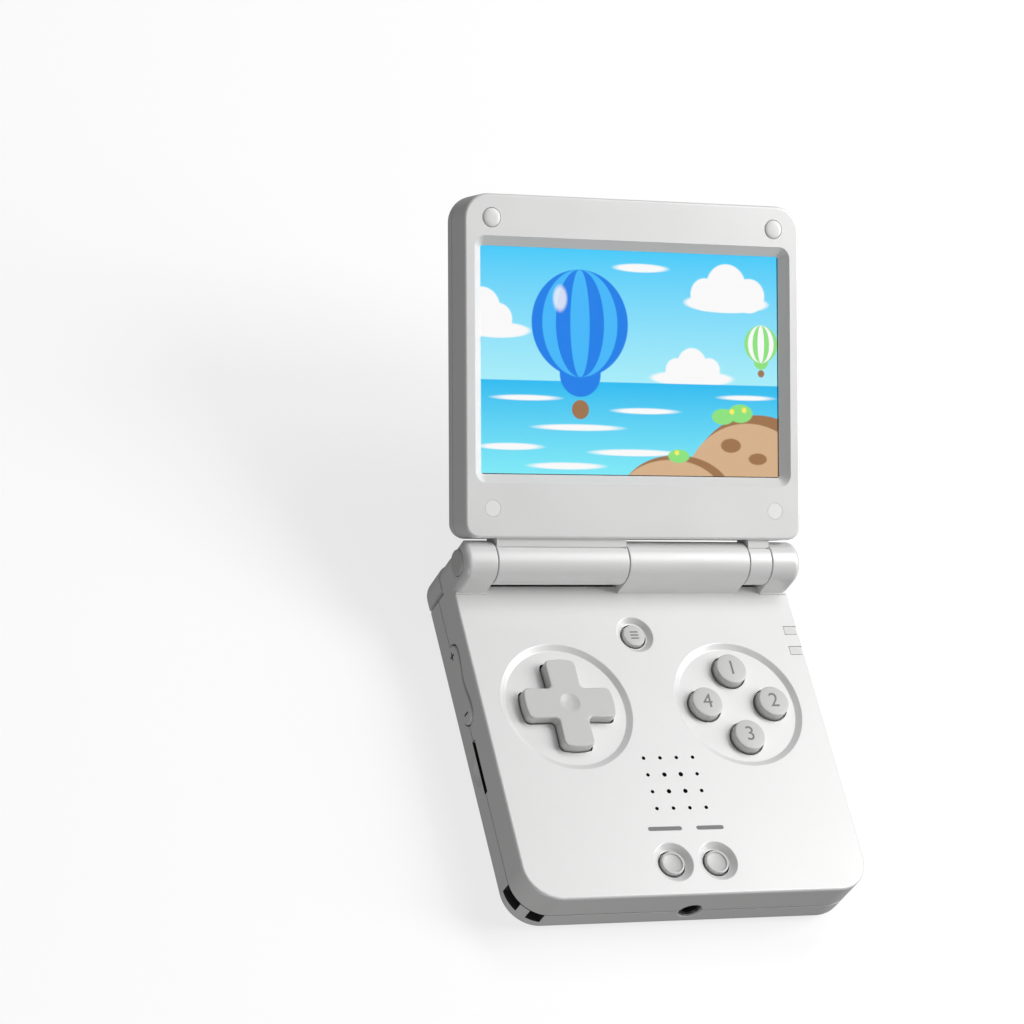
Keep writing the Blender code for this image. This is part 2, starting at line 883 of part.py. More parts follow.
def lanyard_channel_cutter(corner_x, corner_y):
    """Space behind the lanyard bar, open to the side and to the front of the corner."""
    outside = front_corner_radius + overrun
    behind = front_corner_radius - lanyard_bar
    inside = behind - lanyard_channel
    stretches = (
        (inside, lanyard_side_start, lanyard_front_end),
        (outside, lanyard_front_end, lanyard_bar_end),
        (behind, lanyard_bar_end, lanyard_bar_start),
        (outside, lanyard_bar_start, lanyard_side_start),
    )
    outline = []
    for radius, start, end in stretches:
        outline += arc(corner_x, corner_y, radius, start, end, corner_steps)
    return prism("lanyard_channel", outline, lanyard_floor, parting_height + overrun)


def finger_scoop(side, along):
    """A cone-shaped dent below a card slot."""
    radius = (scoop_length ** 2 / 4 + scoop_depth ** 2) / (2 * scoop_depth)
    profile = ((parting_height - scoop_height, radius - scoop_depth), (parting_height + overrun, radius))
    across = side * (half_width + radius - scoop_depth)
    return turned("finger_scoop", profile, across, along, "Z", ring_sides)


def make_base_screws():
    for number, (across, along) in enumerate(screw_places, 1):
        seat = screw_head_level + screw_head_height
        profile = (
            (screw_head_level, screw_head_radius), (seat, screw_head_radius),
            (seat, screw_shank_radius), (seat + screw_length, screw_shank_radius),
        )
        screw = turned(f"base_screw_{number}", profile, across, along, "Z", small_round_sides)
        finished(screw, dark_steel)


# Hinge hardware

def make_hinge_hardware():
    for side, name in ((-1, "hinge_end_cap_left"), (1, "hinge_end_cap_right")):
        inner = side * (half_width - end_cap_thickness)
        outer = side * (half_width + end_cap_bulge)
        rim = outer - side * end_cap_bulge
        profile = ((inner, end_cap_radius), (rim, end_cap_radius), (outer, end_cap_radius - end_cap_bulge))
        finished(turned(name, profile, axis_y, axis_z, "X"), silver_paint)
    outer_end = half_width - end_cap_thickness - 2 * piece_gap
    shaft_end = long_start + shaft_engagement
    pin_start = centre_end - pin_engagement
    for name, start, end in (("hinge_shaft", -outer_end, shaft_end), ("hinge_pin", pin_start, outer_end)):
        profile = ((start, shaft_radius), (end, shaft_radius))
        finished(turned(name, profile, axis_y, axis_z, "X", small_round_sides), dull_steel)


# Inside the base

def make_mainboard():
    radius = board_corner_radius
    outline = rounded_outline(board_half_width, board_front, board_rear, radius, radius)
    board = prism("mainboard", outline, board_low, board_top)
    for side in (-1, 1):
        notch_side = half_width - board_notch_width
        inner, outer = sorted((side * notch_side, side * (board_half_width + overrun)))
        cut(board, block(
            "rear_notch", (inner, board_notch_start, board_low - overrun),
            (outer, board_rear + overrun, board_top + overrun),
        ))
    jack_notch = jack_body_width / 2 + piece_gap
    cut(board, block(
        "jack_notch", (-jack_notch, front_line, board_low - overrun),
        (jack_notch, jack_end + piece_gap, board_top + overrun),
    ))
    for across, along in screw_places:
        radius = top_boss_radius + piece_gap
        profile = ((board_low - overrun, radius), (board_top + overrun, radius))
        cut(board, turned("boss_hole", profile, across, along, "Z", small_round_sides))
    half_chip = processor_size / 2
    join(board, block(
        "processor", (-half_chip, processor_y - half_chip, board_low - processor_thickness),
        (half_chip, processor_y + half_chip, board_low + board_thickness / 2),
    ))
    for across, along in switch_places():
        half = switch_width / 2
        join(board, block(
            "switch", (across - half, along - half, board_low + board_thickness / 2),
            (across + half, along + half, board_top + switch_height),
        ))
    finished(board, board_green)


def switch_places():
    """Centres of the switches that the menu, side and shoulder buttons press."""
    edge = board_half_width
    half = switch_width / 2
    rocker_reach = (rocker_length - rocker_width) / 2
    corner_across = (corner_button_inner + board_half_width) / 2
    inner_across = (inner_button_inner + inner_button_outer) / 2
    places = [
        (0.0, menu_y), (-edge, rocker_y + rocker_reach), (-edge, rocker_y - rocker_reach),
        (edge, power_y), (edge, reset_y),
    ]
    for side in (-1, 1):
        places.append((side * corner_across, board_notch_start))
        places.append((side * inner_across, board_rear - half))
    return places


def make_battery():
    half = half_width - battery_side_room
    front = jack_end + battery_front_room
    rear = rear_line - port_inset - video_depth - battery_rear_room

    def outline_at(inset):
        return rounded_outline(half, front, rear, battery_corner_radius, battery_corner_radius, inset)

    low = side_wall + piece_gap
    high = board_low - processor_thickness - battery_top_room
    rings = edge_rings(outline_at, low, high, face_edge_radius, face_edge_radius, "Z", battery_edge_steps)
    finished(loft("battery", rings), battery_wrap)


def make_speaker():
    low = membrane_low
    high = low + speaker_height
    step = speaker_height / 3
    cone = speaker_radius - speaker_rim
    profile = (
        (low, cone), (low + step, cone), (low + step, speaker_radius), (high, speaker_radius),
        (high, cone), (high - step, cone / 3),
    )
    finished(turned("speaker", profile, 0.0, grille_y), black_plastic)


def make_membranes():
    sheet_high = membrane_low + membrane_sheet
    sheet = ((membrane_low, membrane_radius), (sheet_high, membrane_radius))
    pad_sheet = turned("dpad_membrane", sheet, -pad_side, pad_y)
    quarter_domes = circle(-pad_side, pad_y, pad_dome_reach, 4)
    add_domes(pad_sheet, quarter_domes)
    hole = ((membrane_low - overrun, pivot_hole_radius), (sheet_high + overrun, pivot_hole_radius))
    cut(pad_sheet, turned("pivot_hole", hole, -pad_side, pad_y, "Z", small_round_sides))
    finished(pad_sheet, white_rubber)
    button_sheet = turned("face_button_membrane", sheet, pad_side, pad_y)
    add_domes(button_sheet, button_centres().values())
    finished(button_sheet, white_rubber)
    front = start_y - strip_half_length
    rear = start_y + strip_half_length
    outline = rounded_outline(strip_half_width, front, rear, dome_radius, dome_radius)
    strip = prism("start_select_membrane", outline, membrane_low, sheet_high)
    add_domes(strip, [(side * start_side, start_y) for side in (-1, 1)])
    finished(strip, white_rubber)


def add_domes(sheet, places):
    for across, along in places:
        profile = (
            (membrane_low + membrane_sheet / 2, dome_radius), (membrane_low + membrane_sheet, dome_radius),
            (membrane_high, dome_radius - membrane_sheet),
        )
        join(sheet, turned("dome", profile, across, along, "Z", hole_sides))


def make_ports():
    make_port("usb_c_port", usb_outline, usb_depth, usb_x, usb_tongue_width)
    make_port("video_port", video_outline, video_depth, video_x, video_tongue_width)


def make_port(name, outline_at, depth, place, tongue_width):
    """A sheet-metal port shell, open at the rear wall, with its contact tongue."""
    mouth = rear_line - port_inset
    port = prism(name, outline_at(), mouth - depth, mouth, "Y")
    cut(port, prism("port_hollow", outline_at(-port_wall), mouth - depth + port_wall, mouth + overrun, "Y"))
    half = tongue_width / 2
    thick = tongue_thickness / 2
    join(port, block(
        "tongue", (place - half, mouth - depth + port_wall / 2, port_height - thick),
        (place + half, mouth - tongue_setback, port_height + thick),
    ))
    finished(port, dull_steel)


def make_headphone_jack():
    inner_face = front_line + side_wall + piece_gap
    half = jack_body_width / 2
    low = jack_height - jack_body_height / 2
    far_corner = (half, jack_end, low + jack_body_height)
    jack = block("headphone_jack", (-half, inner_face, low), far_corner)
    mouth = front_line + piece_gap
    sleeve = ((mouth, jack_sleeve_radius), (inner_face + overrun, jack_sleeve_radius))
    join(jack, turned("sleeve", sleeve, 0.0, jack_height, "Y"))
    bore = ((mouth - overrun, jack_bore_radius), (mouth + jack_bore_depth, jack_bore_radius))
    cut(jack, turned("bore", bore, 0.0, jack_height, "Y", round_sides))
    finished(jack, black_plastic)


def make_card_sockets():
    sockets = ((-1, left_slot_y, "card_socket_left"), (1, right_slot_y, "card_socket_right"))
    for side, middle, name in sockets:
        half = socket_length / 2
        high = board_low - piece_gap
        outer = half_width - side_wall - piece_gap
        inner, outer = sorted((side * outer, side * (outer - slot_socket_depth)))
        low = high - slot_socket_height
        socket = block(name, (inner, middle - half, low), (outer, middle + half, high))
        mouth = side * (half_width - side_wall)
        back = mouth - side * (slot_socket_depth - side_wall)
        cut(socket, prism("card_space", slot_outline(middle, -trim_gap), back, mouth + side * overrun, "X"))
        finished(socket, dull_steel)


def make_status_lights():
    for middle, name in ((light_rear_y, "status_light_rear"), (light_front_y, "status_light_front")):
        light = loft(name, edge_rings(base_outline, top_shell_low, base_height, 0.0, face_edge_radius))
        keep(light, light_block(middle, 0.0, base_height - light_depth))
        finished(light, light_window)


# Direction pad

def pad_outline(grow=0.0):
    """A cross with slightly flared arms and crowned ends, anticlockwise from the right arm's root."""
    root = pad_arm_width / 2 + grow
    tip = root + pad_flare
    reach = pad_span / 2 + grow
    shoulder = reach - pad_end_crown
    crown_radius = (tip ** 2 + pad_end_crown ** 2) / (2 * pad_end_crown)
    half_angle = math.asin(tip / crown_radius)
    arm = arc(reach - crown_radius, 0.0, crown_radius, -half_angle, half_angle, crown_steps)
    points = []
    for turn in range(4):
        angle = quarter_turn * turn
        for along, across in arm + [(root, root)]:
            points.append((
                along * math.cos(angle) - across * math.sin(angle),
                along * math.sin(angle) + across * math.cos(angle),
            ))
    return shifted(points, -pad_side, pad_y)


def make_dpad():
    top = base_height + pad_rise
    pad = prism("dpad", pad_outline(), pad_flange_top - pad_flange_thickness / 2, top)
    soften_top(pad, pad_edge_radius)
    dimple = (pad_dimple_radius ** 2 + pad_dimple_depth ** 2) / (2 * pad_dimple_depth)
    cut(pad, bowl("dimple", -pad_side, pad_y, top, pad_dimple_radius, dimple))
    flange_low = pad_flange_top - pad_flange_thickness
    flange = ((flange_low, pad_flange_radius), (pad_flange_top, pad_flange_radius))
    join(pad, turned("pad_flange", flange, -pad_side, pad_y))
    centre = pivot("dpad_tilt_centre", (-pad_side, pad_y, pad_pivot_level))
    for part, finish in ((pad, light_key), (make_dpad_pivot(), dull_steel)):
        set_on(part, centre.location)
        part.location = (0.0, 0.0, 0.0)
        finished(part, finish, centre)


def make_dpad_pivot():
    """The post on which the pad rocks, standing in the membrane's centre hole."""
    dome_start = pad_pivot_level - pivot_neck_radius
    profile = [(membrane_low, pivot_radius), (membrane_low + membrane_sheet, pivot_radius)]
    profile.append((membrane_low + membrane_sheet, pivot_neck_radius))
    for step in range(edge_steps):
        turn = quarter_turn * step / edge_steps
        level = dome_start + pivot_neck_radius * math.sin(turn)
        profile.append((level, pivot_neck_radius * math.cos(turn)))
    return turned("dpad_pivot", profile, -pad_side, pad_y, "Z", small_round_sides)


def bowl(name, across, along, level, radius, sphere_radius):
    """A cutter for a shallow round hollow, wide by radius at a level."""
    centre = level + math.sqrt(sphere_radius ** 2 - radius ** 2)
    half_angle = math.asin(radius / sphere_radius)
    profile = []
    for step in range(1, edge_steps + 1):
        angle = half_angle * step / edge_steps
        profile.append((centre - sphere_radius * math.cos(angle), sphere_radius * math.sin(angle)))
    profile.append((level + overrun, radius))
    return turned(name, profile, across, along)


# Round buttons

def button_centres():
    return {
        "button_x": (pad_side, pad_y + button_spread),
        "button_a": (pad_side + button_spread, pad_y),
        "button_b": (pad_side, pad_y - button_spread),
        "button_y": (pad_side - button_spread, pad_y),
    }


def round_button(name, centre, radius, top, flange_high, crown):
    """A turned button with a softly crowned top and a flange that holds it behind the face."""
    across, along = centre
    flange_low = flange_high - flange_thickness
    flange_radius = radius + flange_width
    shoulder = top - crown - button_edge_radius
    profile = [(flange_low, flange_radius), (flange_high, flange_radius), (flange_high, radius)]
    for step in range(edge_steps + 1):
        turn = quarter_turn * step / edge_steps
        profile.append((
            shoulder + button_edge_radius * math.sin(turn),
            radius - button_edge_radius * (1 - math.cos(turn)),
        ))
    rim = radius - button_edge_radius
    for share in crown_shares:
        profile.append((top - crown * share ** 2, rim * share))
    part = turned(name, profile, across, along)
    set_on(part, (across, along, flange_high))
    return finished(part, light_key)


def make_round_buttons():
    top = base_height + button_rise
    for name, centre in button_centres().items():
        round_button(name, centre, button_radius, top, flange_top, button_crown)
    menu_centre = (0.0, menu_y)
    menu_top = base_height - menu_drop
    round_button("menu_button", menu_centre, menu_button_radius, menu_top, flange_top, trim_gap)
    small_top = base_height - start_drop
    small_flange = boss_foot - piece_gap
    for side, name in ((-1, "select_button"), (1, "start_button")):
        centre = (side * start_side, start_y)
        round_button(name, centre, start_button_radius, small_top, small_flange, trim_gap)


# Side buttons

def side_button(name, side, outline_at, rise, flange_half_length, middle, width):
    """A button through one side wall, with its flange inside the wall."""
    outer = side * (half_width + rise)
    wall_inside = half_width - side_wall
    flange_outer = side * (wall_inside - piece_gap)
    flange_inner = side * (wall_inside - piece_gap - side_flange)
    body_inner = side * (wall_inside - piece_gap - side_flange / 2)
    rings = [ring(outline_at(-rise), outer, "X"), ring(outline_at(0.0), outer - side * rise, "X")]
    part = loft(name, rings + [ring(outline_at(0.0), body_inner, "X")])
    low, high = sorted((flange_inner, flange_outer))
    half_height = width / 2 + side_flange
    join(part, block(
        "flange", (low, middle - flange_half_length, rocker_height - half_height),
        (high, middle + flange_half_length, rocker_height + half_height),
    ))
    set_on(part, (side * wall_inside, middle, rocker_height))
    return finished(part, silver_paint)


def make_side_buttons():
    rocker_flange = rocker_length / 2 - rocker_width
    side_button("volume_rocker", -1, rocker_outline, rocker_rise, rocker_flange, rocker_y, rocker_waist)
    power_flange = power_length / 2 + side_flange
    reset_flange = reset_length / 2 + side_flange
    side_button("power_button", 1, power_outline, side_button_rise, power_flange, power_y, power_width)
    side_button("reset_button", 1, reset_outline, side_button_rise, reset_flange, reset_y, reset_width)


# Shoulder buttons

def shoulder_button(name, outline, top, origin):
    """A button cut from the base's own rounded outline, standing a little proud of it."""

    def grown_outline(inset):
        return base_outline(inset - shoulder_proud)

    part = loft(name, edge_rings(grown_outline, shoulder_foot, top - piece_gap, under_edge_radius, 0.0))
    keep(part, prism("shoulder_guide", outline, -overrun, base_height))
    set_on(part, origin)
    return finished(part, silver_paint)


def make_shoulder_buttons():
    names = ((-1, "shoulder_l1", "shoulder_l2"), (1, "shoulder_r1", "shoulder_r2"))
    for side, corner_name, inner_name in names:
        corner = corner_button_outline(side, piece_gap, shoulder_front_gap)
        hinge_place = (side * (corner_button_inner + piece_gap), rear_line - side_wall, 0.0)
        shoulder_button(corner_name, corner, corner_button_top, hinge_place)
        inner = inner_button_outline(side, piece_gap, shoulder_front_gap)
        middle = side * (inner_button_inner + inner_button_outer) / 2
        shoulder_button(inner_name, inner, inner_button_top, (middle, rear_line, 0.0))


# Lid, in its own frame on the hinge axis: X along the hinge, Y up the lid, Z out of its face

def lid_outline(inset=0.0):
    return rounded_outline(
        half_width, lid_foot, lid_top, lid_foot_corner_radius, lid_top_corner_radius, inset
    )


def lid_cavity_outline(inset):
    return lid_outline(lid_wall + inset)


def screen_outline(grow):
    radius = screen_corner_radius
    return rounded_outline(
        screen_width / 2 + grow, screen_foot - grow, screen_foot + screen_height + grow, radius, radius
    )


def lid_screw_places(along):
    return [(side * lid_screw_reach, along) for side in (-1, 1)]


def all_lid_screw_places():
    return lid_screw_places(lid_upper_screw) + lid_screw_places(lid_lower_screw)


def lid_barrel(name, start, end, radius):
    return turned(name, ((start, radius), (end, radius)), 0.0, 0.0, "X", 2 * barrel_steps)


def make_lid_front_shell(lid):
    low = lid_parting + piece_gap / 2
    shell = loft("lid_front_shell", edge_rings(lid_outline, low, lid_face, 0.0, lid_face_edge_radius))
    cut(shell, loft("lid_cavity", edge_rings(
        lid_cavity_outline, low - overrun, lid_face_under, 0.0, lid_face_edge_radius
    )))
    slope = screen_frame_slope / screen_frame_depth
    cut(shell, loft("screen_window", [
        ring(screen_outline(0.0), lid_face_under - overrun),
        ring(screen_outline(0.0), lid_face - screen_frame_depth),
        ring(screen_outline(screen_frame_slope + overrun * slope), lid_face + overrun),
    ]))
    for start, end in ((long_start, long_end), (short_start, short_end)):
        barrel = lid_barrel("barrel", start, end, barrel_radius)
        join(barrel, block(
            "neck", (start + seam_step, neck_root, -neck_back),
            (end - seam_step, lid_foot + lid_wall / 2, neck_front),
        ))
        join(shell, barrel)
    bore_end = long_end - lid_wall
    cut(shell, lid_barrel("cartridge_bore", long_start - overrun, bore_end, cartridge_bore_radius))
    cut(shell, lid_barrel("pin_bore", short_start - overrun, short_end + overrun, pin_bore_radius))
    exit_outline = band_outline(cable_exit_line(), cable_slot_width)
    cut(shell, prism("cable_slot", exit_outline, cable_start, cable_end, "X"))
    boss = ((low, lid_boss_radius), (lid_face_under + seam_step, lid_boss_radius))
    for across, along in all_lid_screw_places():
        join(shell, turned("lid_boss", boss, across, along))
    head = lid_screw_head_radius + piece_gap
    shank = lid_screw_shank_radius + piece_gap
    for across, along in all_lid_screw_places():
        wide = cover_seat_radius(along)
        stretches = (
            (cover_seat_level, lid_face + overrun, wide, round_sides),
            (lid_screw_seat, lid_face, head, small_round_sides),
            (low - overrun, lid_face, shank, hole_sides),
        )
        for start, end, radius, sides in stretches:
            cut(shell, turned("screw_hole", ((start, radius), (end, radius)), across, along, "Z", sides))
    return finished(shell, silver_paint, lid)


def cover_seat_radius(along):
    return (bumper_radius if along == lid_upper_screw else cover_radius) + trim_gap


def make_lid_back_shell(lid):
    high = lid_parting - piece_gap / 2
    shell = loft("lid_back_shell", edge_rings(
        lid_outline, lid_back, high, lid_back_edge_radius, 0.0, "Z", back_edge_steps
    ))
    cut(shell, loft("lid_cavity", edge_rings(
        lid_cavity_outline, lid_back + lid_wall, high + overrun, lid_back_edge_radius - lid_wall, 0.0
    )))
    for across, along in all_lid_screw_places():
        radius = lid_boss_radius
        boss = turned("lid_boss", ((lid_back + lid_wall / 2, radius), (high, radius)), across, along)
        keep(boss, loft("boss_guide", edge_rings(
            lid_boss_guide, lid_back + lid_wall / 3, high + overrun, lid_back_edge_radius, 0.0
        )))
        join(shell, boss)
        hole = lid_screw_shank_radius + piece_gap
        low = lid_screw_seat - lid_screw_length - piece_gap
        cut(shell, turned("pilot", ((low, hole), (high + overrun, hole)), across, along, "Z", hole_sides))
    seat = lid_back + badge_thickness - badge_rise
    cut(shell, prism("badge_seat", badge_outline(trim_gap), lid_back - overrun, seat))
    return finished(shell, silver_paint, lid)


def lid_boss_guide(inset):
    return lid_outline(lid_wall / 3 + inset)


def badge_outline(grow):
    half = badge_width / 2 + grow
    radius = badge_height / 2 + grow
    return rounded_outline(half, badge_place - radius, badge_place + radius, radius, radius)


def make_badge(lid):
    seat = lid_back + badge_thickness - badge_rise - trim_gap
    badge = prism("badge_ring", badge_outline(0.0), lid_back - badge_rise, seat)
    cut(badge, prism("badge_hole", badge_outline(-badge_ring_width), lid_back - overrun, seat + overrun))
    finished(badge, bright_metal, lid)
    plate_face = lid_back - badge_rise + badge_dish
    plate = prism("badge_plate", badge_outline(-badge_ring_width - trim_gap), plate_face, seat)
    finished(plate, dark_plate, lid)


def make_display(lid):
    lens_high = lid_face_under - trim_gap
    lens_low = lens_high - lens_thickness
    finished(prism("display_lens", screen_outline(lens_lap), lens_low, lens_high), lens_clear, lid)
    panel_high = lens_low - piece_gap
    panel_low = panel_high - panel_thickness
    finished(prism("display_panel", screen_outline(panel_lap), panel_low, panel_high), screen_blue, lid)
    backing_high = panel_low - piece_gap
    backing_low = backing_high - backing_thickness
    backing = prism("display_backing", screen_outline(panel_lap), backing_low, backing_high)
    finished(backing, dull_steel, lid)


def make_lid_fittings(lid):
    upper = zip(lid_screw_places(lid_upper_screw), ("lid_bumper_left", "lid_bumper_right"))
    for (across, along), name in upper:
        low = lid_face + bumper_rise - bumper_thickness
        profile = [(low, bumper_radius), (lid_face, bumper_radius)]
        for step in range(1, edge_steps + 1):
            turn = quarter_turn * step / (edge_steps + 1)
            radius = bumper_radius * math.sqrt(math.cos(turn))
            profile.append((lid_face + bumper_rise * math.sin(turn), radius))
        finished(turned(name, profile, across, along), soft_rubber, lid)
    lower = zip(lid_screw_places(lid_lower_screw), ("screw_cover_left", "screw_cover_right"))
    for (across, along), name in lower:
        profile = ((cover_seat_level + trim_gap, cover_radius), (lid_face, cover_radius))
        finished(turned(name, profile, across, along), silver_paint, lid)
    for number, (across, along) in enumerate(all_lid_screw_places(), 1):
        head_low = lid_screw_seat + trim_gap
        head_high = head_low + lid_screw_head_height
        profile = (
            (head_low - lid_screw_length, lid_screw_shank_radius), (head_low, lid_screw_shank_radius),
            (head_low, lid_screw_head_radius), (head_high, lid_screw_head_radius),
        )
        finished(turned(f"lid_screw_{number}", profile, across, along, "Z", hole_sides), dark_steel, lid)
    half = magnet_width / 2
    half_height = magnet_height / 2
    high = lid_face_under - piece_gap
    low_corner = (magnet_side - half, lid_upper_screw - half_height, high - magnet_thickness)
    high_corner = (magnet_side + half, lid_upper_screw + half_height, high)
    finished(block("closing_magnet", low_corner, high_corner), dull_steel, lid)


def make_hinge_cartridge(lid):
    start = long_start + piece_gap
    cartridge = lid_barrel("hinge_cartridge", start, start + cartridge_length, cartridge_radius)
    hole_end = long_start + shaft_engagement + piece_gap
    cut(cartridge, lid_barrel("shaft_hole", start - overrun, hole_end, pin_bore_radius))
    finished(cartridge, dull_steel, lid)


def cable_line():
    """The cable's line square to the hinge: a spiral in the barrel, then a run into the lid."""
    points = []
    steps = cable_turns * small_round_sides
    for step in range(steps + 1):
        share = step / steps
        angle = quarter_turn + 2 * math.pi * cable_turns * (1 - share)
        radius = cable_inner_radius + cable_turn_pitch * cable_turns * share
        points.append((radius * math.cos(angle), radius * math.sin(angle)))
    return points + [(cable_run_end, cable_run_level)]


def cable_exit_line():
    return cable_line()[-2:]


def band_outline(line, width):
    """An outline of even width along a line of points."""
    left = []
    right = []
    for index, (along, up) in enumerate(line):
        before = line[max(index - 1, 0)]
        after = line[min(index + 1, len(line) - 1)]
        run = math.hypot(after[0] - before[0], after[1] - before[1])
        normal = ((before[1] - after[1]) / run, (after[0] - before[0]) / run)
        left.append((along + normal[0] * width / 2, up + normal[1] * width / 2))
        right.append((along - normal[0] * width / 2, up - normal[1] * width / 2))
    return left + right[::-1]


def make_display_cable(lid):
    margin = piece_gap + cable_slot_width / 2
    outline = band_outline(cable_line(), cable_thickness)
    cable = prism("display_cable", outline, cable_start + margin, cable_end - margin, "X")
    finished(cable, cable_amber, lid)


def make_lid():
    lid = pivot("lid_hinge_axis", (0.0, axis_y, axis_z), None, math.pi - opening_angle)
    make_lid_front_shell(lid)
    make_lid_back_shell(lid)
    make_display(lid)
    make_lid_fittings(lid)
    make_badge(lid)
    make_hinge_cartridge(lid)
    make_display_cable(lid)


def make_base():
    make_base_top_shell()
    make_base_bottom_shell()
    make_base_screws()
    make_hinge_hardware()
    make_mainboard()
    make_battery()
    make_speaker()
    make_membranes()
    make_ports()
    make_headphone_jack()
    make_card_sockets()
    make_status_lights()


def make_buttons():
    make_dpad()
    make_round_buttons()
    make_side_buttons()
    make_shoulder_buttons()


for old in list(bpy.data.objects):
    bpy.data.objects.remove(old)
make_base()
make_buttons()
make_lid()
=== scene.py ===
import math

import bmesh
import bpy
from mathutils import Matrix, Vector


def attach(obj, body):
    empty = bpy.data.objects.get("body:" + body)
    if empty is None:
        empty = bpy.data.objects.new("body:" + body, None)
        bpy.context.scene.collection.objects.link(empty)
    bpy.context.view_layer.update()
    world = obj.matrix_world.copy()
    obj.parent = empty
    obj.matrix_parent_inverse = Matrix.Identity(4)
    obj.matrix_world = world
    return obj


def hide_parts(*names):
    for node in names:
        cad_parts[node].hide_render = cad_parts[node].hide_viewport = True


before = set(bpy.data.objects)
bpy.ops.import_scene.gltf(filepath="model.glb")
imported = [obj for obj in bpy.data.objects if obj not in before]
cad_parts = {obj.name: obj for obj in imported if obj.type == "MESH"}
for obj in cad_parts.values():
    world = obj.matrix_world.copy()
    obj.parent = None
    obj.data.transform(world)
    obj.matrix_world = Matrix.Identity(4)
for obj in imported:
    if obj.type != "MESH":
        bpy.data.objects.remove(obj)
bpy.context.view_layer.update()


# Camera and studio
# The console stands on a plain pale floor. A large soft lamp hangs above its right side and a weaker
# one behind it, with a low side lamp, a lamp for the sheen of the paint and a weak fill at the near
# corner, in an even pale surround. The camera looks down from the front left.
studio = bpy.context.scene
camera_data = bpy.data.cameras.new("camera")
camera_data.lens = 144.43
camera_data.sensor_width = 36.0
camera = bpy.data.objects.new("camera", camera_data)
camera.location = (-0.42580, -0.39015, 0.72956)
camera.rotation_euler = [math.radians(angle) for angle in (34.423, -21.8144, -13.7191)]
studio.collection.objects.link(camera)
studio.camera = camera
studio.view_settings.view_transform = "Standard"

bpy.ops.object.select_all(action="DESELECT")
bpy.ops.mesh.primitive_plane_add(size=6.0, location=(0.0, 0.0, 0.0))
floor = bpy.context.object
floor.name = "studio_floor"
floor.visible_diffuse = False
floor.visible_glossy = False


def soft_lamp(name, place, aim, width, power, diffuse=True, glossy=True):
    data = bpy.data.lights.new(name, "AREA")
    data.shape = "SQUARE"
    data.size = width
    data.energy = power
    lamp = bpy.data.objects.new(name, data)
    lamp.location = place
    lamp.rotation_euler = (Vector(aim) - Vector(place)).to_track_quat("-Z", "Y").to_euler()
    lamp.visible_diffuse = diffuse
    lamp.visible_glossy = glossy
    studio.collection.objects.link(lamp)


soft_lamp("key_lamp", (0.765, 0.030, 0.785), (0.0, 0.0, 0.0), 0.47, 6.7)
soft_lamp("rear_lamp", (0.40, 0.55, 0.86), (0.0, 0.0, 0.0), 0.36, 3.0, glossy=False)
soft_lamp("side_lamp", (0.93, -0.15, 0.42), (0.0, 0.0, 0.03), 0.38, 3.0)
soft_lamp("corner_fill", (-0.22, -0.30, 0.06), (-0.03, -0.03, 0.0), 0.16, 0.20)
soft_lamp("sheen_lamp", (0.632, 0.307, 0.86), (0.0, 0.0, 0.0), 0.30, 1.2, diffuse=False)
surround = bpy.data.worlds.new("studio_air")
surround.use_nodes = True
surround.node_tree.nodes["Background"].inputs["Color"].default_value = (1.0, 1.0, 1.0, 1.0)
surround.node_tree.nodes["Background"].inputs["Strength"].default_value = 0.20
studio.world = surround


class Wire:
    """One output of a shader node; arithmetic on it adds Math nodes to its material."""

    def __init__(self, finish, socket):
        self.finish = finish
        self.socket = socket

    def __add__(self, other):
        return self.finish.math("ADD", self, other)

    def __sub__(self, other):
        return self.finish.math("SUBTRACT", self, other)

    def __rsub__(self, other):
        return self.finish.math("SUBTRACT", other, self)

    def __mul__(self, other):
        return self.finish.math("MULTIPLY", self, other)

    def __gt__(self, other):
        return self.finish.math("GREATER_THAN", self, other)

    def __lt__(self, other):
        return self.finish.math("LESS_THAN", self, other)

    __radd__ = __add__
    __rmul__ = __mul__


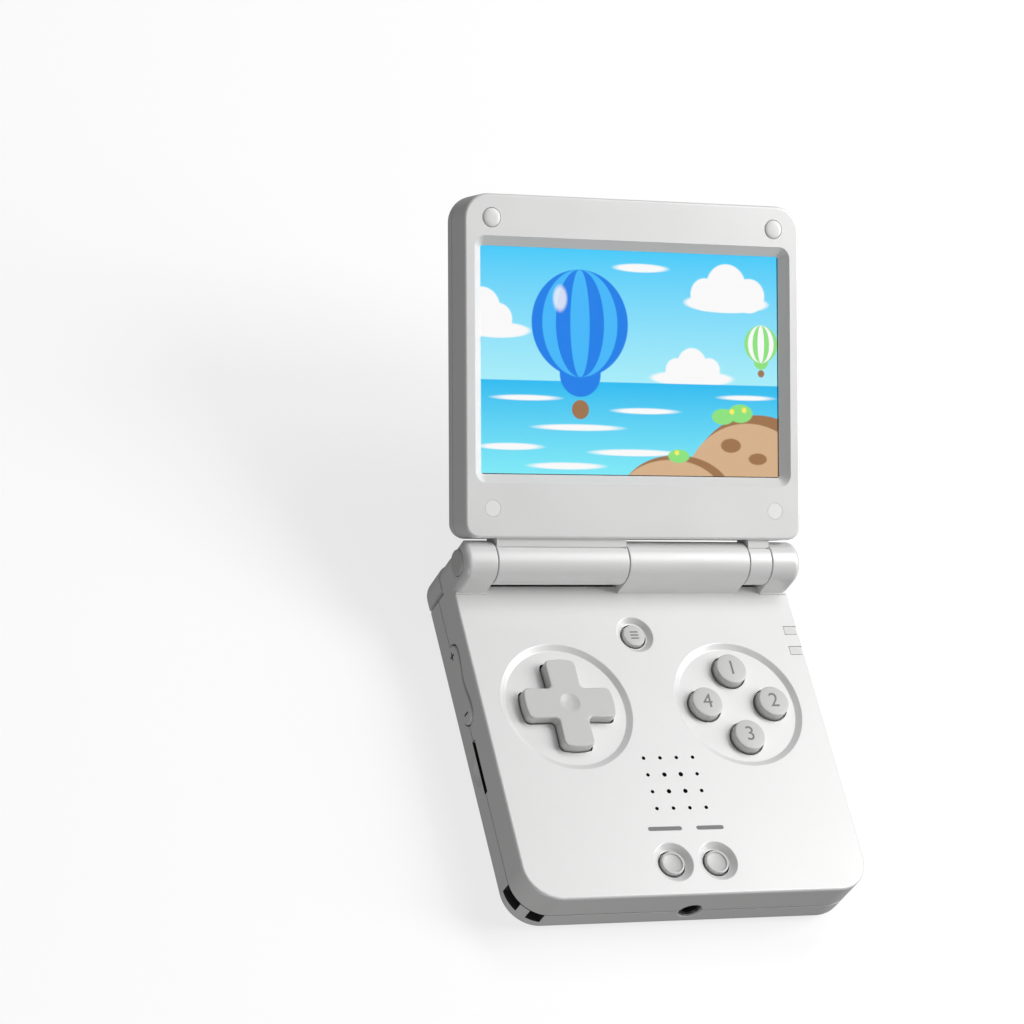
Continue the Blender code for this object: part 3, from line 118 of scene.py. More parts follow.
class Finish:
    """A material whose surface is worked out by nodes."""

    def __init__(self, name, colour, roughness, metallic=0.0, fixed=None):
        self.material = bpy.data.materials.new(name)
        self.material.use_nodes = True
        self.tree = self.material.node_tree
        self.shader = self.tree.nodes["Principled BSDF"]
        self.shader.inputs["Base Color"].default_value = (*colour, 1.0)
        self.shader.inputs["Roughness"].default_value = roughness
        self.shader.inputs["Metallic"].default_value = metallic
        for socket, value in (fixed or {}).items():
            self.shader.inputs[socket].default_value = value
        self.place = self.node("TexCoord", output="Object")

    def node(self, kind, settings=None, inputs=None, output=0):
        """Adds a node, sets it up, feeds its sockets and gives one of its outputs."""
        made = self.tree.nodes.new("ShaderNode" + kind)
        for key, value in (settings or {}).items():
            setattr(made, key, value)
        for key, value in (inputs or {}).items():
            self.feed(made.inputs[key], value)
        return Wire(self, made.outputs[output])

    def feed(self, socket, value):
        if isinstance(value, Wire):
            self.tree.links.new(value.socket, socket)
        else:
            socket.default_value = value

    def math(self, operation, first, second):
        return self.node("Math", {"operation": operation}, {0: first, 1: second})

    def noise(self, scale, detail=2.0):
        return self.node("TexNoise", None, {"Vector": self.place, "Scale": scale, "Detail": detail})

    def spread(self, value, low, high, out_low=0.0, out_high=1.0):
        """A value taken from one range to another, and held at its ends."""
        inputs = {"Value": value, "From Min": low, "From Max": high, "To Min": out_low, "To Max": out_high}
        return self.node("MapRange", None, inputs)

    def blend(self, share, first, second):
        """A colour between two colours."""
        return self.node("Mix", {"data_type": "RGBA"}, {0: share, 6: first, 7: second}, output=2)

    def shade(self, **sockets):
        """Feeds what varies over the surface to the shader."""
        for key, value in sockets.items():
            self.feed(self.shader.inputs[key.replace("_", " ").title()], value)

    def relief(self, height, depth):
        """Fine relief of the surface, its depth in metres."""
        self.shade(normal=self.node("Bump", None, {"Height": height, "Distance": depth}))


def dress(piece, finish):
    piece.data.materials.clear()
    piece.data.materials.append(finish.material)


floor_finish = Finish("studio_floor_finish", (0.26, 0.26, 0.26), 0.7, 0.0, {
    "Emission Color": (1.0, 1.0, 1.0, 1.0), "Emission Strength": 0.74})
floor_finish.relief(floor_finish.noise(40.0), 0.0001)
dress(floor, floor_finish)


# Base top shell
# The upper half of the base is one moulded ABS shell with the two end knuckles and the centre
# barrel of the hinge on it. Every dish and hole of the face is moulded in, and the outside is
# sprayed satin silver-white with very fine flakes.
half_width = 0.0425
front_line = -0.04335
rear_line = 0.04335
front_corner = 0.0083
rear_corner = 0.0046
face_level = 0.0150
parting_level = 0.0071
half_gap = 0.00015
seam_round = 0.00012
wall = 0.0016
face_wall = 0.0018
boss_gap = 0.00045
boss_top = 0.0141
hinge_line = (0.03785, 0.0201)
hinge_y, hinge_z = hinge_line
barrel_radius = 0.0049
ear_round = 0.0016
bore_radius = 0.0015
quarter_turn = math.pi / 2
beyond = 0.002
hair = 1e-6


def pick(piece):
    """Makes a piece the only one chosen."""
    bpy.ops.object.select_all(action="DESELECT")
    piece.select_set(True)
    bpy.context.view_layer.objects.active = piece


def placed(name):
    """Names the primitive just added and puts its place and size into its mesh."""
    piece = bpy.context.object
    piece.name = name
    piece.data.name = name
    bpy.ops.object.transform_apply(location=True, rotation=True, scale=True)
    return piece


def block(name, low, high):
    low = Vector(low)
    high = Vector(high)
    bpy.ops.object.select_all(action="DESELECT")
    bpy.ops.mesh.primitive_cube_add(size=1.0, location=(low + high) / 2)
    bpy.context.object.scale = high - low
    return placed(name)


axis_turns = {"X": (0.0, quarter_turn, 0.0), "Y": (-quarter_turn, 0.0, 0.0), "Z": (0.0, 0.0, 0.0)}


def along_axis(axis, middle, run):
    """The point at a run along an axis that stands at the middle, given by its other two coordinates."""
    first, second = middle
    return Vector({"X": (run, first, second), "Y": (first, run, second), "Z": (first, second, run)}[axis])


def turned(name, profile, middle, axis="Z", sides=48):
    """A turned piece: each step of the profile is a place along the axis and the radius there."""
    (run, radius), *steps = profile
    bpy.ops.object.select_all(action="DESELECT")
    bpy.ops.mesh.primitive_circle_add(
        vertices=sides, radius=radius, fill_type="NGON",
        location=along_axis(axis, middle, run), rotation=axis_turns[axis],
    )
    piece = placed(name)
    bpy.ops.object.mode_set(mode="EDIT")
    bpy.ops.mesh.select_mode(type="FACE")
    bpy.ops.mesh.select_all(action="SELECT")
    for next_run, next_radius in steps:
        step = along_axis(axis, (0.0, 0.0), next_run - run)
        bpy.ops.mesh.extrude_region_move(TRANSFORM_OT_translate={"value": step})
        if next_radius != radius:
            growth = [next_radius / radius] * 3
            centre = along_axis(axis, middle, next_run)
            bpy.ops.transform.resize(value=growth, center_override=centre)
        run, radius = next_run, next_radius
    bpy.ops.mesh.select_all(action="SELECT")
    bpy.ops.mesh.normals_make_consistent(inside=False)
    bpy.ops.object.mode_set(mode="OBJECT")
    return piece


def rod(name, middle, radius, low, high, axis="Z", sides=48):
    return turned(name, ((low, radius), (high, radius)), middle, axis, sides)


def choose(piece, kind, test):
    """Opens a piece in edit mode with the edges or faces chosen that pass a test on middle and way."""
    pick(piece)
    bpy.ops.object.mode_set(mode="EDIT")
    bpy.ops.mesh.select_mode(type=kind)
    bpy.ops.mesh.select_all(action="DESELECT")
    mesh = bmesh.from_edit_mesh(piece.data)
    if kind == "FACE":
        for face in mesh.faces:
            face.select = test(face.calc_center_median(), face.normal)
    else:
        for edge in mesh.edges:
            first, second = (vertex.co for vertex in edge.verts)
            edge.select = test((first + second) / 2, (second - first).normalized())
    mesh.select_flush_mode()
    bmesh.update_edit_mesh(piece.data)


def leave_edit():
    bpy.ops.object.mode_set(mode="OBJECT")


def round_edges(piece, test, width, steps=4):
    choose(piece, "EDGE", test)
    bpy.ops.mesh.bevel(offset=width, segments=steps, affect="EDGES", clamp_overlap=False)
    leave_edit()


def running(axis, also=lambda middle: True):
    """Picks the edges that run along an axis and whose middles pass a test."""
    index = "XYZ".index(axis)
    return lambda middle, way: abs(way[index]) > 0.9 and also(middle)


def at_end(axis, place, also=lambda middle: True):
    """Picks the edges that lie in one end plane and whose middles pass a test."""
    index = "XYZ".index(axis)
    return lambda middle, way: abs(middle[index] - place) < hair and abs(way[index]) < 0.1 and also(middle)


def at_level(level):
    """Picks the edges that lie at a level."""
    return at_end("Z", level)


def use_modifier(piece, kind, **settings):
    modifier = piece.modifiers.new(kind.lower(), kind)
    for key, value in settings.items():
        setattr(modifier, key, value)
    pick(piece)
    bpy.ops.object.modifier_apply(modifier=modifier.name)


def combine(piece, operation, tools):
    for tool in tools:
        use_modifier(piece, "BOOLEAN", operation=operation, solver="MANIFOLD", object=tool)
        bpy.data.objects.remove(tool)


def carve(piece, *tools):
    combine(piece, "DIFFERENCE", tools)


def weld(piece, *tools):
    combine(piece, "UNION", tools)


def trim(piece, *tools):
    combine(piece, "INTERSECT", tools)


def darken(piece, finish, test):
    """Gives the faces that pass a test a second finish."""
    piece.data.materials.append(finish.material)
    second = len(piece.data.materials) - 1
    for face in piece.data.polygons:
        if test(face.center, face.normal):
            face.material_index = second


def finished(piece, finish, body, slot, *nodes):
    """Smooths a piece, dresses it and sets it on its body in place of CAD nodes."""
    pick(piece)
    bpy.ops.object.shade_smooth_by_angle(angle=math.radians(32.0))
    use_modifier(piece, "WEIGHTED_NORMAL", keep_sharp=True)
    dress(piece, finish)
    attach(piece, body)
    if nodes:
        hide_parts(*nodes)
    return piece


def tone(colour, share):
    """A darker or lighter tone of a colour."""
    return [min(part * share, 1.0) for part in colour] + [1.0]


def paint_finish(name, colour, roughness, metallic):
    """Sprayed paint: fine flakes, a faint cloudiness and a light orange-peel relief."""
    finish = Finish(name, colour, roughness, metallic)
    flakes = finish.noise(9000.0, 1.0)
    cloud = finish.noise(70.0, 3.0)
    mottle = flakes * 0.6 + cloud * 0.4
    finish.shade(base_color=finish.blend(mottle, tone(colour, 0.965), tone(colour, 1.035)))
    finish.shade(roughness=finish.spread(cloud, 0.3, 0.7, roughness - 0.03, roughness + 0.03))
    finish.relief(flakes * 0.4 + finish.noise(1400.0, 1.0), 0.000006)
    return finish


def grained_finish(name, colour, roughness, grain=2500.0, detail=2.0, depth=0.00001):
    """One plain colour with a fine grain: bare moulded plastic, and painted shade in holes."""
    finish = Finish(name, colour, roughness)
    finish.relief(finish.noise(grain, detail), depth)
    return finish


silver_paint = paint_finish("silver_paint", (0.80, 0.80, 0.795), 0.36, 0.12)
# Painted shade: a near-black and a dark grey laid where deep shade falls in holes, slots and troughs; the
# near-black is also the real black of the volume key's marks.
painted_shade_and_mark_black = grained_finish("painted_shade_and_mark_black_plastic", (0.012, 0.012, 0.013), 0.6)
painted_shade_grey = grained_finish("painted_shade_grey_plastic", (0.04, 0.04, 0.04), 0.6)


def plan_block(name, low, high, corners):
    """A block whose upright edges are rounded, the front pair and the rear pair each in its own way."""
    piece = block(name, low, high)
    halfway = (low[1] + high[1]) / 2
    for sign, radius, steps in corners:
        round_edges(piece, running("Z", lambda middle: (middle.y - halfway) * sign > 0.0), radius, steps)
    return piece


def base_block(name, low, high, inset=0.0):
    """A block with the base's plan outline, drawn in by inset."""
    side = half_width - inset
    corners = ((-1, front_corner - inset, 14), (1, rear_corner - inset, 10))
    return plan_block(name, (-side, front_line + inset, low), (side, rear_line - inset, high), corners)


def knuckle(start, end, start_round, end_round):
    """One ear or barrel of the base's half of the hinge, round on top and straight down to its foot."""
    foot = face_level - 0.0015
    top = hinge_z + barrel_radius
    bulge = 0.0004
    piece = block("knuckle", (start, hinge_y - barrel_radius, foot), (end, hinge_y + barrel_radius, top))
    choose(piece, "EDGE", running("X", lambda middle: middle.y > hinge_y and middle.z < hinge_z))
    bpy.ops.transform.translate(value=(0.0, bulge, 0.0))
    leave_edit()
    round_edges(piece, running("X", lambda middle: middle.z > hinge_z), barrel_radius - 1e-5, 18)
    for place, radius in ((start, start_round), (end, end_round)):
        round_edges(piece, at_end("X", place, lambda middle: middle.z > foot + 1e-4), radius, 6)
    trim(piece, base_block("plan", foot - beyond, top + beyond, 0.00005))
    return piece


def pill(name, low, high, axis):
    """A block whose four edges along an axis are rounded to a full half round."""
    piece = block(name, low, high)
    spans = [high[i] - low[i] for i in range(3) if i != "XYZ".index(axis)]
    round_edges(piece, running(axis), min(spans) / 2 - 1e-5, 10)
    return piece


def dish(middle, radius, slope, depth, sides=96):
    """A cutter for a round dish in the face: a plain slope with a soft foot and brim."""
    profile = []
    for run, rise in ((0.0, 0.0), (0.06, 0.02), (0.14, 0.10), (0.86, 0.90), (0.94, 0.98), (1.0, 0.9999)):
        profile.append((face_level - depth + depth * rise, radius - slope + slope * run))
    profile.append((face_level + beyond, radius + 0.00001))
    return turned("dish", profile, middle, sides=sides)


hole_foot = 0.0107


def round_hole(middle, radius, brim_level, brim=0.00012, sides=64):
    """A cutter straight down through the face, flared at its brim."""
    profile = (
        (hole_foot, radius), (brim_level - brim, radius), (brim_level - brim * 0.4, radius + brim * 0.25),
        (brim_level, radius + brim), (face_level + beyond, radius + brim),
    )
    return turned("hole", profile, middle, sides=sides)


ring_middles = ((-0.0216, 0.00395), (0.0216, 0.00395))
pad_middle = ring_middles[0]


def cross(name, reach, half_arm, low, high):
    """A four-armed block with crowned ends, centred on the direction pad's place."""
    across, along = pad_middle
    crown = 0.0130
    inner_round = 0.0011
    tip_round = 0.0019
    flare = 1.05
    foot = (across - half_arm, along - half_arm, low)
    piece = block(name, foot, (across + half_arm, along + half_arm, high))
    for way in (Vector((1, 0, 0)), Vector((0, 1, 0)), Vector((-1, 0, 0)), Vector((0, -1, 0))):
        choose(piece, "FACE", lambda middle, normal: normal.dot(way) > 0.9 and (
            middle - Vector((across, along, middle.z))).dot(way) < half_arm + hair)
        bpy.ops.mesh.extrude_region_move(TRANSFORM_OT_translate={"value": way * (reach - half_arm)})
        bpy.ops.transform.resize(value=[1.0 if part else flare for part in (way.x, way.y, 1)])
        leave_edit()

    def out(middle):
        return max(abs(middle.x - across), abs(middle.y - along))

    round_edges(piece, running("Z", lambda middle: out(middle) < half_arm + hair), inner_round, 6)
    round_edges(piece, running("Z", lambda middle: out(middle) > reach - hair), tip_round, 8)
    for side_x, side_y in ((1, 0), (-1, 0), (0, 1), (0, -1)):
        centre = (across + side_x * (reach - crown), along + side_y * (reach - crown))
        trim(piece, rod("crown", centre, crown, low - beyond, high + beyond, sides=256))
    return piece


rocker_y = 0.01345
side_level = 0.0080
side_keys = {"power_button": (0.01315, 0.0088, 0.0042), "reset_button": (0.00145, 0.0058, 0.0034)}
slot_middles = ((-1, -0.00675), (1, -0.00925))
slot_half = 0.0065
slot_low = parting_level - 0.0004
slot_top = 0.0081
jack_place = (0.0, 0.0069)
port_level = 0.0065
port_ends = {"usb": (-0.0126, -0.0037), "video": (0.00215, 0.01335)}
lid_barrels = ((-0.0344, -0.0019), (0.0293, 0.0348))
(long_start, long_end), (short_start, short_end) = lid_barrels
turning_gap = 0.0003
trough_front = 0.0347
trough_level = face_level - 0.0012


def rocker_shape(name, inner, outer, grow=0.0):
    """The volume key's outline along X: a long pill with a smooth narrow waist."""
    low, high = sorted((inner, outer))
    half = 0.0024 + grow
    reach = 0.0097 + grow
    waist = 0.33
    piece = pill(
        name, (low, rocker_y - reach, side_level - half), (high, rocker_y + reach, side_level + half), "X"
    )
    choose(piece, "EDGE", lambda middle, way: abs(way.y) > 0.99 and abs(middle.y - rocker_y) < 1e-5)
    bpy.ops.mesh.subdivide(number_cuts=13)
    leave_edit()
    for step in range(-5, 6):
        place = rocker_y + (reach - half) * step / 7
        height = 1.0 - waist * math.cos(quarter_turn * step / 6) ** 2
        choose(piece, "EDGE", running("X", lambda middle: abs(middle.y - place) < 5e-5))
        bpy.ops.transform.resize(value=(1.0, 1.0, height), center_override=(0.0, rocker_y, side_level))
        leave_edit()
    return piece


def key_span(node, start, end, grow):
    """The lowest and highest corner of a right-hand key, larger all round by grow."""
    middle, length, height = side_keys[node]
    half_y = length / 2 + grow
    half_z = height / 2 + grow
    return (start, middle - half_y, side_level - half_z), (end, middle + half_y, side_level + half_z)


def port_block(kind, name, start, end, inset, corner):
    """A port's outline along Y, drawn in by inset: one kind is round-cornered, the other cut below."""
    low, high = port_ends[kind]
    half = 0.0016 - inset
    piece = block(name, (low + inset, start, port_level - half), (high - inset, end, port_level + half))
    if kind == "usb":
        round_edges(piece, running("Y"), corner, 6)
    else:
        round_edges(piece, running("Y", lambda middle: middle.z < port_level), corner, 1)
    return piece


def shoulder_block(side, inner, outer, front, top, steps):
    """A block over a shoulder button's place, rounded at its front corners inside the base."""
    low, high = sorted((side * inner, side * outer))
    piece = block("shoulder_block", (low, front, -beyond), (high, rear_line + beyond, top))
    round_edges(piece, running("Z", lambda middle: middle.y < front + hair and abs(middle.x) < half_width),
                0.0015, steps)
    return piece


def side_openings():
    """Cutters for the openings in the side, front and rear walls, which both base shells share."""
    inner = half_width - wall - beyond
    outer = half_width + beyond
    tools = [rocker_shape("rocker_opening", -inner, -outer, 0.00045)]
    for node in side_keys:
        tools.append(pill("key_opening", *key_span(node, inner, outer, 0.0004), "X"))
    for side, middle in slot_middles:
        low, high = sorted((side * inner, side * outer))
        slot_end = (high, middle + slot_half, slot_top)
        tools.append(block("slot_opening", (low, middle - slot_half, slot_low), slot_end))
    jack_hole = 0.0027
    jack_brim = 0.0029
    jack = ((front_line - beyond, jack_brim), (front_line, jack_brim), (front_line + 0.00015, jack_hole),
            (front_line + wall + beyond, jack_hole))
    tools.append(turned("jack_opening", jack, jack_place, "Y"))
    port_start = rear_line - wall - beyond
    for kind, corner in (("usb", 0.0017), ("video", 0.0015)):
        tools.append(port_block(kind, "port_opening", port_start, rear_line + beyond, -0.0003, corner))
    for side in (-1, 1):
        tools.append(shoulder_block(side, 0.0335, 0.0445, 0.03545, 0.0103, 6))
        tools.append(shoulder_block(side, 0.0206, 0.0295, 0.03945, 0.0099, 6))
    return tools


button_middles = {
    "button_x": (0.0216, 0.01245), "button_a": (0.0301, 0.00395),
    "button_b": (0.0216, -0.00455), "button_y": (0.0131, 0.00395),
}
menu_middle = (0.0, 0.02215)
start_middles = {"select_button": (-0.0055, -0.03525), "start_button": (0.0055, -0.03525)}
screw_middles = [(side * 0.0382, along) for side in (-1, 1) for along in (-0.03255, 0.02705)]
grille_y = -0.01575
grille_middles = [
    ((column - 1.5) * 0.0041, grille_y + (row - 1.5) * 0.0042) for column in range(4) for row in range(4)
]
light_middles = {"status_light_rear": 0.02305, "status_light_front": 0.01775}
dish_depth = 0.00075

base_top = base_block("base_top_cover", parting_level + half_gap, face_level)
round_edges(base_top, at_level(face_level), 0.0006, 5)
round_edges(base_top, at_level(parting_level + half_gap), seam_round, 2)
carve(base_top, base_block("cavity", parting_level - beyond, face_level - face_wall, wall))
for start, end in lid_barrels:
    trough_end = (end + 0.0005, hinge_y, face_level + beyond)
    carve(
        base_top,
        rod("pocket", hinge_line, barrel_radius + turning_gap, start - beyond, end + beyond, "X", 96),
        block("trough", (start - 0.0005, trough_front, trough_level), trough_end),
    )
weld(
    base_top, knuckle(-half_width, long_start - turning_gap, ear_round, seam_round),
    knuckle(long_end + turning_gap, short_start - turning_gap, seam_round, seam_round),
    knuckle(short_end + turning_gap, half_width, seam_round, ear_round),
)
ledge_inset = 0.0004
ledge_front = hinge_y - barrel_radius - 0.00035
for start, end in (
    (ledge_inset - half_width, long_start - ledge_inset),
    (short_end + ledge_inset, half_width - ledge_inset),
):
    ledge_top = (end, hinge_y, face_level + 0.0003)
    weld(base_top, block("knuckle_ledge", (start, ledge_front, face_level - 0.0005), ledge_top))
for middle in screw_middles:
    weld(base_top, rod("screw_boss", middle, 0.0029, parting_level + boss_gap, boss_top))
for middle in start_middles.values():
    weld(base_top, rod("button_boss", middle, 0.0042, 0.0127, boss_top))
cap_seat_radius = 0.00315
cap_seat_floor = half_width - 0.0013
carve(
    base_top,
    rod("left_cap_seat", hinge_line, cap_seat_radius, -half_width - beyond, -cap_seat_floor, "X", 64),
    rod("right_cap_seat", hinge_line, cap_seat_radius, cap_seat_floor, half_width + beyond, "X", 64),
    rod("left_shaft_bore", hinge_line, bore_radius, -half_width, -0.0327, "X", 24),
    rod("right_pin_bore", hinge_line, bore_radius, 0.0247, half_width, "X", 24),
)
for middle in ring_middles:
    carve(base_top, dish(middle, 0.0159, 0.0015, dish_depth, 160))
carve(base_top, cross("pad_opening", 0.0114, 0.0040, hole_foot, face_level + beyond))
for middle in button_middles.values():
    carve(base_top, round_hole(middle, 0.0042, face_level - dish_depth))
carve(base_top, dish(menu_middle, 0.0046, 0.00125, 0.0011), round_hole(menu_middle, 0.0031, 0.0139))
for middle in start_middles.values():
    carve(base_top, dish(middle, 0.0048, 0.0015, 0.0012), round_hole(middle, 0.0032, 0.0138))
for middle in grille_middles:
    inner = max(abs(middle[0]), abs(middle[1] - grille_y)) < 0.003
    carve(base_top, round_hole(middle, 0.00050 if inner else 0.00040, face_level, 0.00005, 20))
for middle in light_middles.values():
    light_end = (0.0445, middle + 0.00115, 0.0165)
    carve(base_top, block("light_space", (0.03875, middle - 0.00115, 0.01245), light_end))
carve(base_top, *side_openings())
for middle in screw_middles:
    carve(base_top, rod("screw_pilot", middle, 0.0011, parting_level - beyond, 0.0125, sides=20))
finished(base_top, silver_paint, "base", "housing", "base_top_shell")


def in_grille_hole(centre, normal):
    near = min((Vector(middle) - centre.xy).length for middle in grille_middles)
    return near < 0.00058 and centre.z > 0.0131 and abs(normal.z) < 0.9


def in_trough(centre, normal):
    across = any(start - 0.0006 < centre.x < end + 0.0006 for start, end in lid_barrels)
    along = trough_front - 1e-5 < centre.y < hinge_y + 0.002
    return across and along and trough_level - 1e-5 < centre.z < face_level - 0.0001


def beside_slots(centre):
    return abs(centre.x) > 0.0405 and -0.0160 < centre.y < 0.0


def in_card_slot(centre, normal):
    level = parting_level + 0.0002 < centre.z < slot_top + 0.00001
    return level and beside_slots(centre) and (normal.z < -0.9 or abs(normal.y) > 0.9)


def in_key_hole(centre, normal):
    rounds = [*button_middles.values(), menu_middle, *start_middles.values()]
    near_round = min((Vector(middle) - centre.xy).length for middle in rounds) < 0.0045
    near_pad = (Vector(pad_middle) - centre.xy).length < 0.0123
    return (near_round or near_pad) and abs(normal.z) < 0.3 and 0.0126 < centre.z < 0.0139


# Painted shade: the walls of the grille holes, the floor and walls of the hinge troughs and the inside of
# the card slots get the near-black finish, and the walls of the key holes the dark grey one, where deep
# shade falls.
darken(base_top, painted_shade_and_mark_black, lambda centre, normal: any(
    inside(centre, normal) for inside in (in_grille_hole, in_trough, in_card_slot)))
darken(base_top, painted_shade_grey, in_key_hole)


# Base bottom shell
# The lower half is a moulded tray, sprayed like the top. It has four deep screw wells, a bar for a
# wrist strap moulded across the front left corner, and a finger scoop below each card slot.
under_round = 0.0030
tray_skin = 0.0006
strap_corner = (-0.0342, -0.03505)
scoop_drops = ((0.0034, 0.0057), (0.0029, 0.0061), (0.0014, 0.0064), (0.0009, 0.0062), (0.0007, 0.0057))
well_steps = (
    (-beyond, 0.0028), (0.0, 0.0028), (0.0002, 0.0026), (0.0045, 0.0026), (0.00451, 0.0011),
    (parting_level + beyond, 0.0011),
)
base_bottom = base_block("base_bottom_tray", 0.0, parting_level - half_gap)
round_edges(base_bottom, at_level(0.0), under_round, 9)
round_edges(base_bottom, at_level(parting_level - half_gap), seam_round, 2)
tray_space = base_block("tray_space", wall, parting_level + beyond, wall)
round_edges(tray_space, at_level(wall), 0.0014, 4)
carve(base_bottom, tray_space)
weld(base_bottom, rod("corner_filling", strap_corner, 0.0073, 0.0009, parting_level - boss_gap, sides=96))


def guided_boss(name, middle, radius, low, high, guide, guide_level, guide_round):
    """A screw boss that ends inside the soft edge of its shell."""
    boss = rod(name, middle, radius, low, high)
    round_edges(guide, at_level(guide_level), guide_round, 6)
    trim(boss, guide)
    return boss


for middle in screw_middles:
    guide = base_block("boss_guide", tray_skin, parting_level + beyond, tray_skin)
    weld(base_bottom, guided_boss(
        "screw_boss", middle, 0.0036, 0.0008, parting_level - boss_gap, guide, tray_skin, under_round))
for middle in screw_middles:
    carve(base_bottom, turned("screw_well", well_steps, middle))


def sector(name, middle, radius, low, high, start, end):
    """A slice of a round rod between two angles round its middle."""
    piece = rod(name, middle, radius, low, high, sides=96)
    for angle, side in ((math.radians(start), -1), (math.radians(end), 1)):
        choose(piece, "FACE", lambda centre, normal: True)
        across = Vector((-math.sin(angle), math.cos(angle), 0.0)) * side
        bpy.ops.mesh.bisect(plane_co=(*middle, 0.0), plane_no=across, use_fill=True, clear_outer=True)
        leave_edit()
    return piece


for outer, start, end in ((0.0069, 183, 260), (0.0103, 183, 219), (0.0103, 236, 260)):
    window = sector("strap_window", strap_corner, outer, 0.0040, parting_level + beyond, start, end)
    carve(window, rod("core", strap_corner, 0.0050, 0.0, 0.012, sides=96))
    carve(base_bottom, window)
for side, middle in slot_middles:
    scoop = [(parting_level - drop, radius) for drop, radius in scoop_drops]
    carve(base_bottom, turned("finger_scoop", scoop, (side * 0.0481, middle - 0.0010), sides=160))
carve(base_bottom, *side_openings())
finished(base_bottom, silver_paint, "base", "housing", "base_bottom_shell")


def in_strap_window(centre, normal):
    out = (centre.xy - Vector(strap_corner)).length
    return 0.0049 < out < 0.0076 and 0.0039 < centre.z < 0.0070


def in_slot_foot(centre, normal):
    return slot_low - 1e-5 < centre.z < parting_level - 0.0002 and beside_slots(centre) and normal.z > 0.9


# Painted shade: the walls of the strap windows get the dark grey finish and the foot of each card slot the
# near-black one, where shade falls.
darken(base_bottom, painted_shade_grey, in_strap_window)
darken(base_bottom, painted_shade_and_mark_black, in_slot_foot)


# Lid front shell
# The screen side of the lid is one moulded frame with the long and the short hinge barrel on
# short necks at its foot. The screen lies in a recess with sloped sides. It is made lying flat on
# the hinge axis here, then turned into the open lid's place.
lid_foot = 0.0054
lid_top = 0.0822
lid_face = 0.0046
lid_parting = -0.0023
lid_back = -0.0068
lid_wall = 0.0015
lid_face_wall = 0.0020
lid_tilt = math.radians(30)
screen_half = 0.03795
screen_foot = 0.0197
screen_head = 0.0707
recess_depth = 0.0016
recess_slope = 0.0021
slope_round = 0.00015
lid_axis = (0.0, 0.0)
lid_boss_radius = 0.0033
lid_pilot_radius = 0.0009
lid_fixings = {
    "upper": [(-0.0358, 0.0768), (0.0358, 0.0768)], "lower": [(-0.0358, 0.0120), (0.0358, 0.0120)],
}


def hang(piece):
    """Turns a piece that was made flat on the hinge axis into the open lid's place."""
    pick(piece)
    piece.rotation_euler.x = lid_tilt
    piece.location = (0.0, hinge_y, hinge_z)
    bpy.ops.object.transform_apply(location=True, rotation=True, scale=True)
    return piece


def lid_block(name, low, high, inset=0.0):
    """A block with the lid's outline, drawn in by inset."""
    side = half_width - inset
    corners = ((-1, 0.0034 - inset, 10), (1, 0.0060 - inset, 12))
    return plan_block(name, (-side, lid_foot + inset, low), (side, lid_top - inset, high), corners)


def screen_block(name, low, high, grow=0.0, corner=0.0006):
    """A block with the screen window's round-cornered outline."""
    foot = (-screen_half - grow, screen_foot - grow, low)
    piece = block(name, foot, (screen_half + grow, screen_head + grow, high))
    round_edges(piece, running("Z"), corner, 8)
    return piece


frame_shell = lid_block("lid_screen_frame", lid_parting + half_gap, lid_face)
round_edges(frame_shell, at_level(lid_face), 0.0006, 5)
round_edges(frame_shell, at_level(lid_parting + half_gap), seam_round, 2)
carve(frame_shell, lid_block("frame_space", lid_parting - beyond, lid_face - lid_face_wall, lid_wall))
window = screen_block("screen_window", lid_face - recess_slope, lid_face + beyond, recess_slope, 0.0027)
round_edges(window, at_level(lid_face - recess_slope), recess_slope, 1)
round_edges(window, at_level(lid_face - recess_slope), slope_round, 2)
round_edges(window, at_level(lid_face), slope_round, 2)
choose(window, "FACE", lambda middle, normal: True)
flatter = (1.0, 1.0, recess_depth / recess_slope)
bpy.ops.transform.resize(value=flatter, center_override=(0.0, 0.0, lid_face))
leave_edit()
hole_low = lid_face - lid_face_wall - beyond
weld(window, screen_block("window_hole", hole_low, lid_face - recess_depth + 0.0001))
carve(frame_shell, window)
for start, end in lid_barrels:
    barrel = rod("barrel", lid_axis, barrel_radius, start, end, "X", 96)
    for place in (start, end):
        round_edges(barrel, at_end("X", place), seam_round, 2)
    neck = block("neck", (start + 0.0001, 0.0020, -0.0020), (end - 0.0001, lid_foot + 0.00075, 0.0034))
    round_edges(neck, running("X", lambda middle: middle.z > 0.003), 0.0003, 3)
    weld(frame_shell, barrel, neck)
    groove_end = (end - 0.0002, 0.00360, 0.0040)
    carve(frame_shell, block("neck_groove", (start + 0.0002, 0.00332, 0.0031), groove_end))
carve(
    frame_shell,
    rod("cartridge_bore", lid_axis, 0.0033, long_start - beyond, long_end - 0.0015, "X"),
    rod("pin_bore", lid_axis, bore_radius, short_start - beyond, short_end + beyond, "X", 24),
)
for group, seat_radius in (("upper", 0.00226), ("lower", 0.00191)):
    brim_radius = seat_radius + 0.00004
    seat = (
        (lid_parting - beyond, lid_pilot_radius), (0.00245, lid_pilot_radius), (0.00246, 0.0018),
        (0.00365, 0.0018), (0.00366, seat_radius), (lid_face - 0.00004, seat_radius),
        (lid_face, brim_radius), (lid_face + beyond, brim_radius),
    )
    for middle in lid_fixings[group]:
        boss_end = lid_face - lid_face_wall + 0.0001
        weld(frame_shell, rod("lid_boss", middle, lid_boss_radius, lid_parting + half_gap, boss_end))
        carve(frame_shell, turned("fixing_seat", seat, middle))
finished(hang(frame_shell), silver_paint, "lid", "housing", "lid_front_shell")


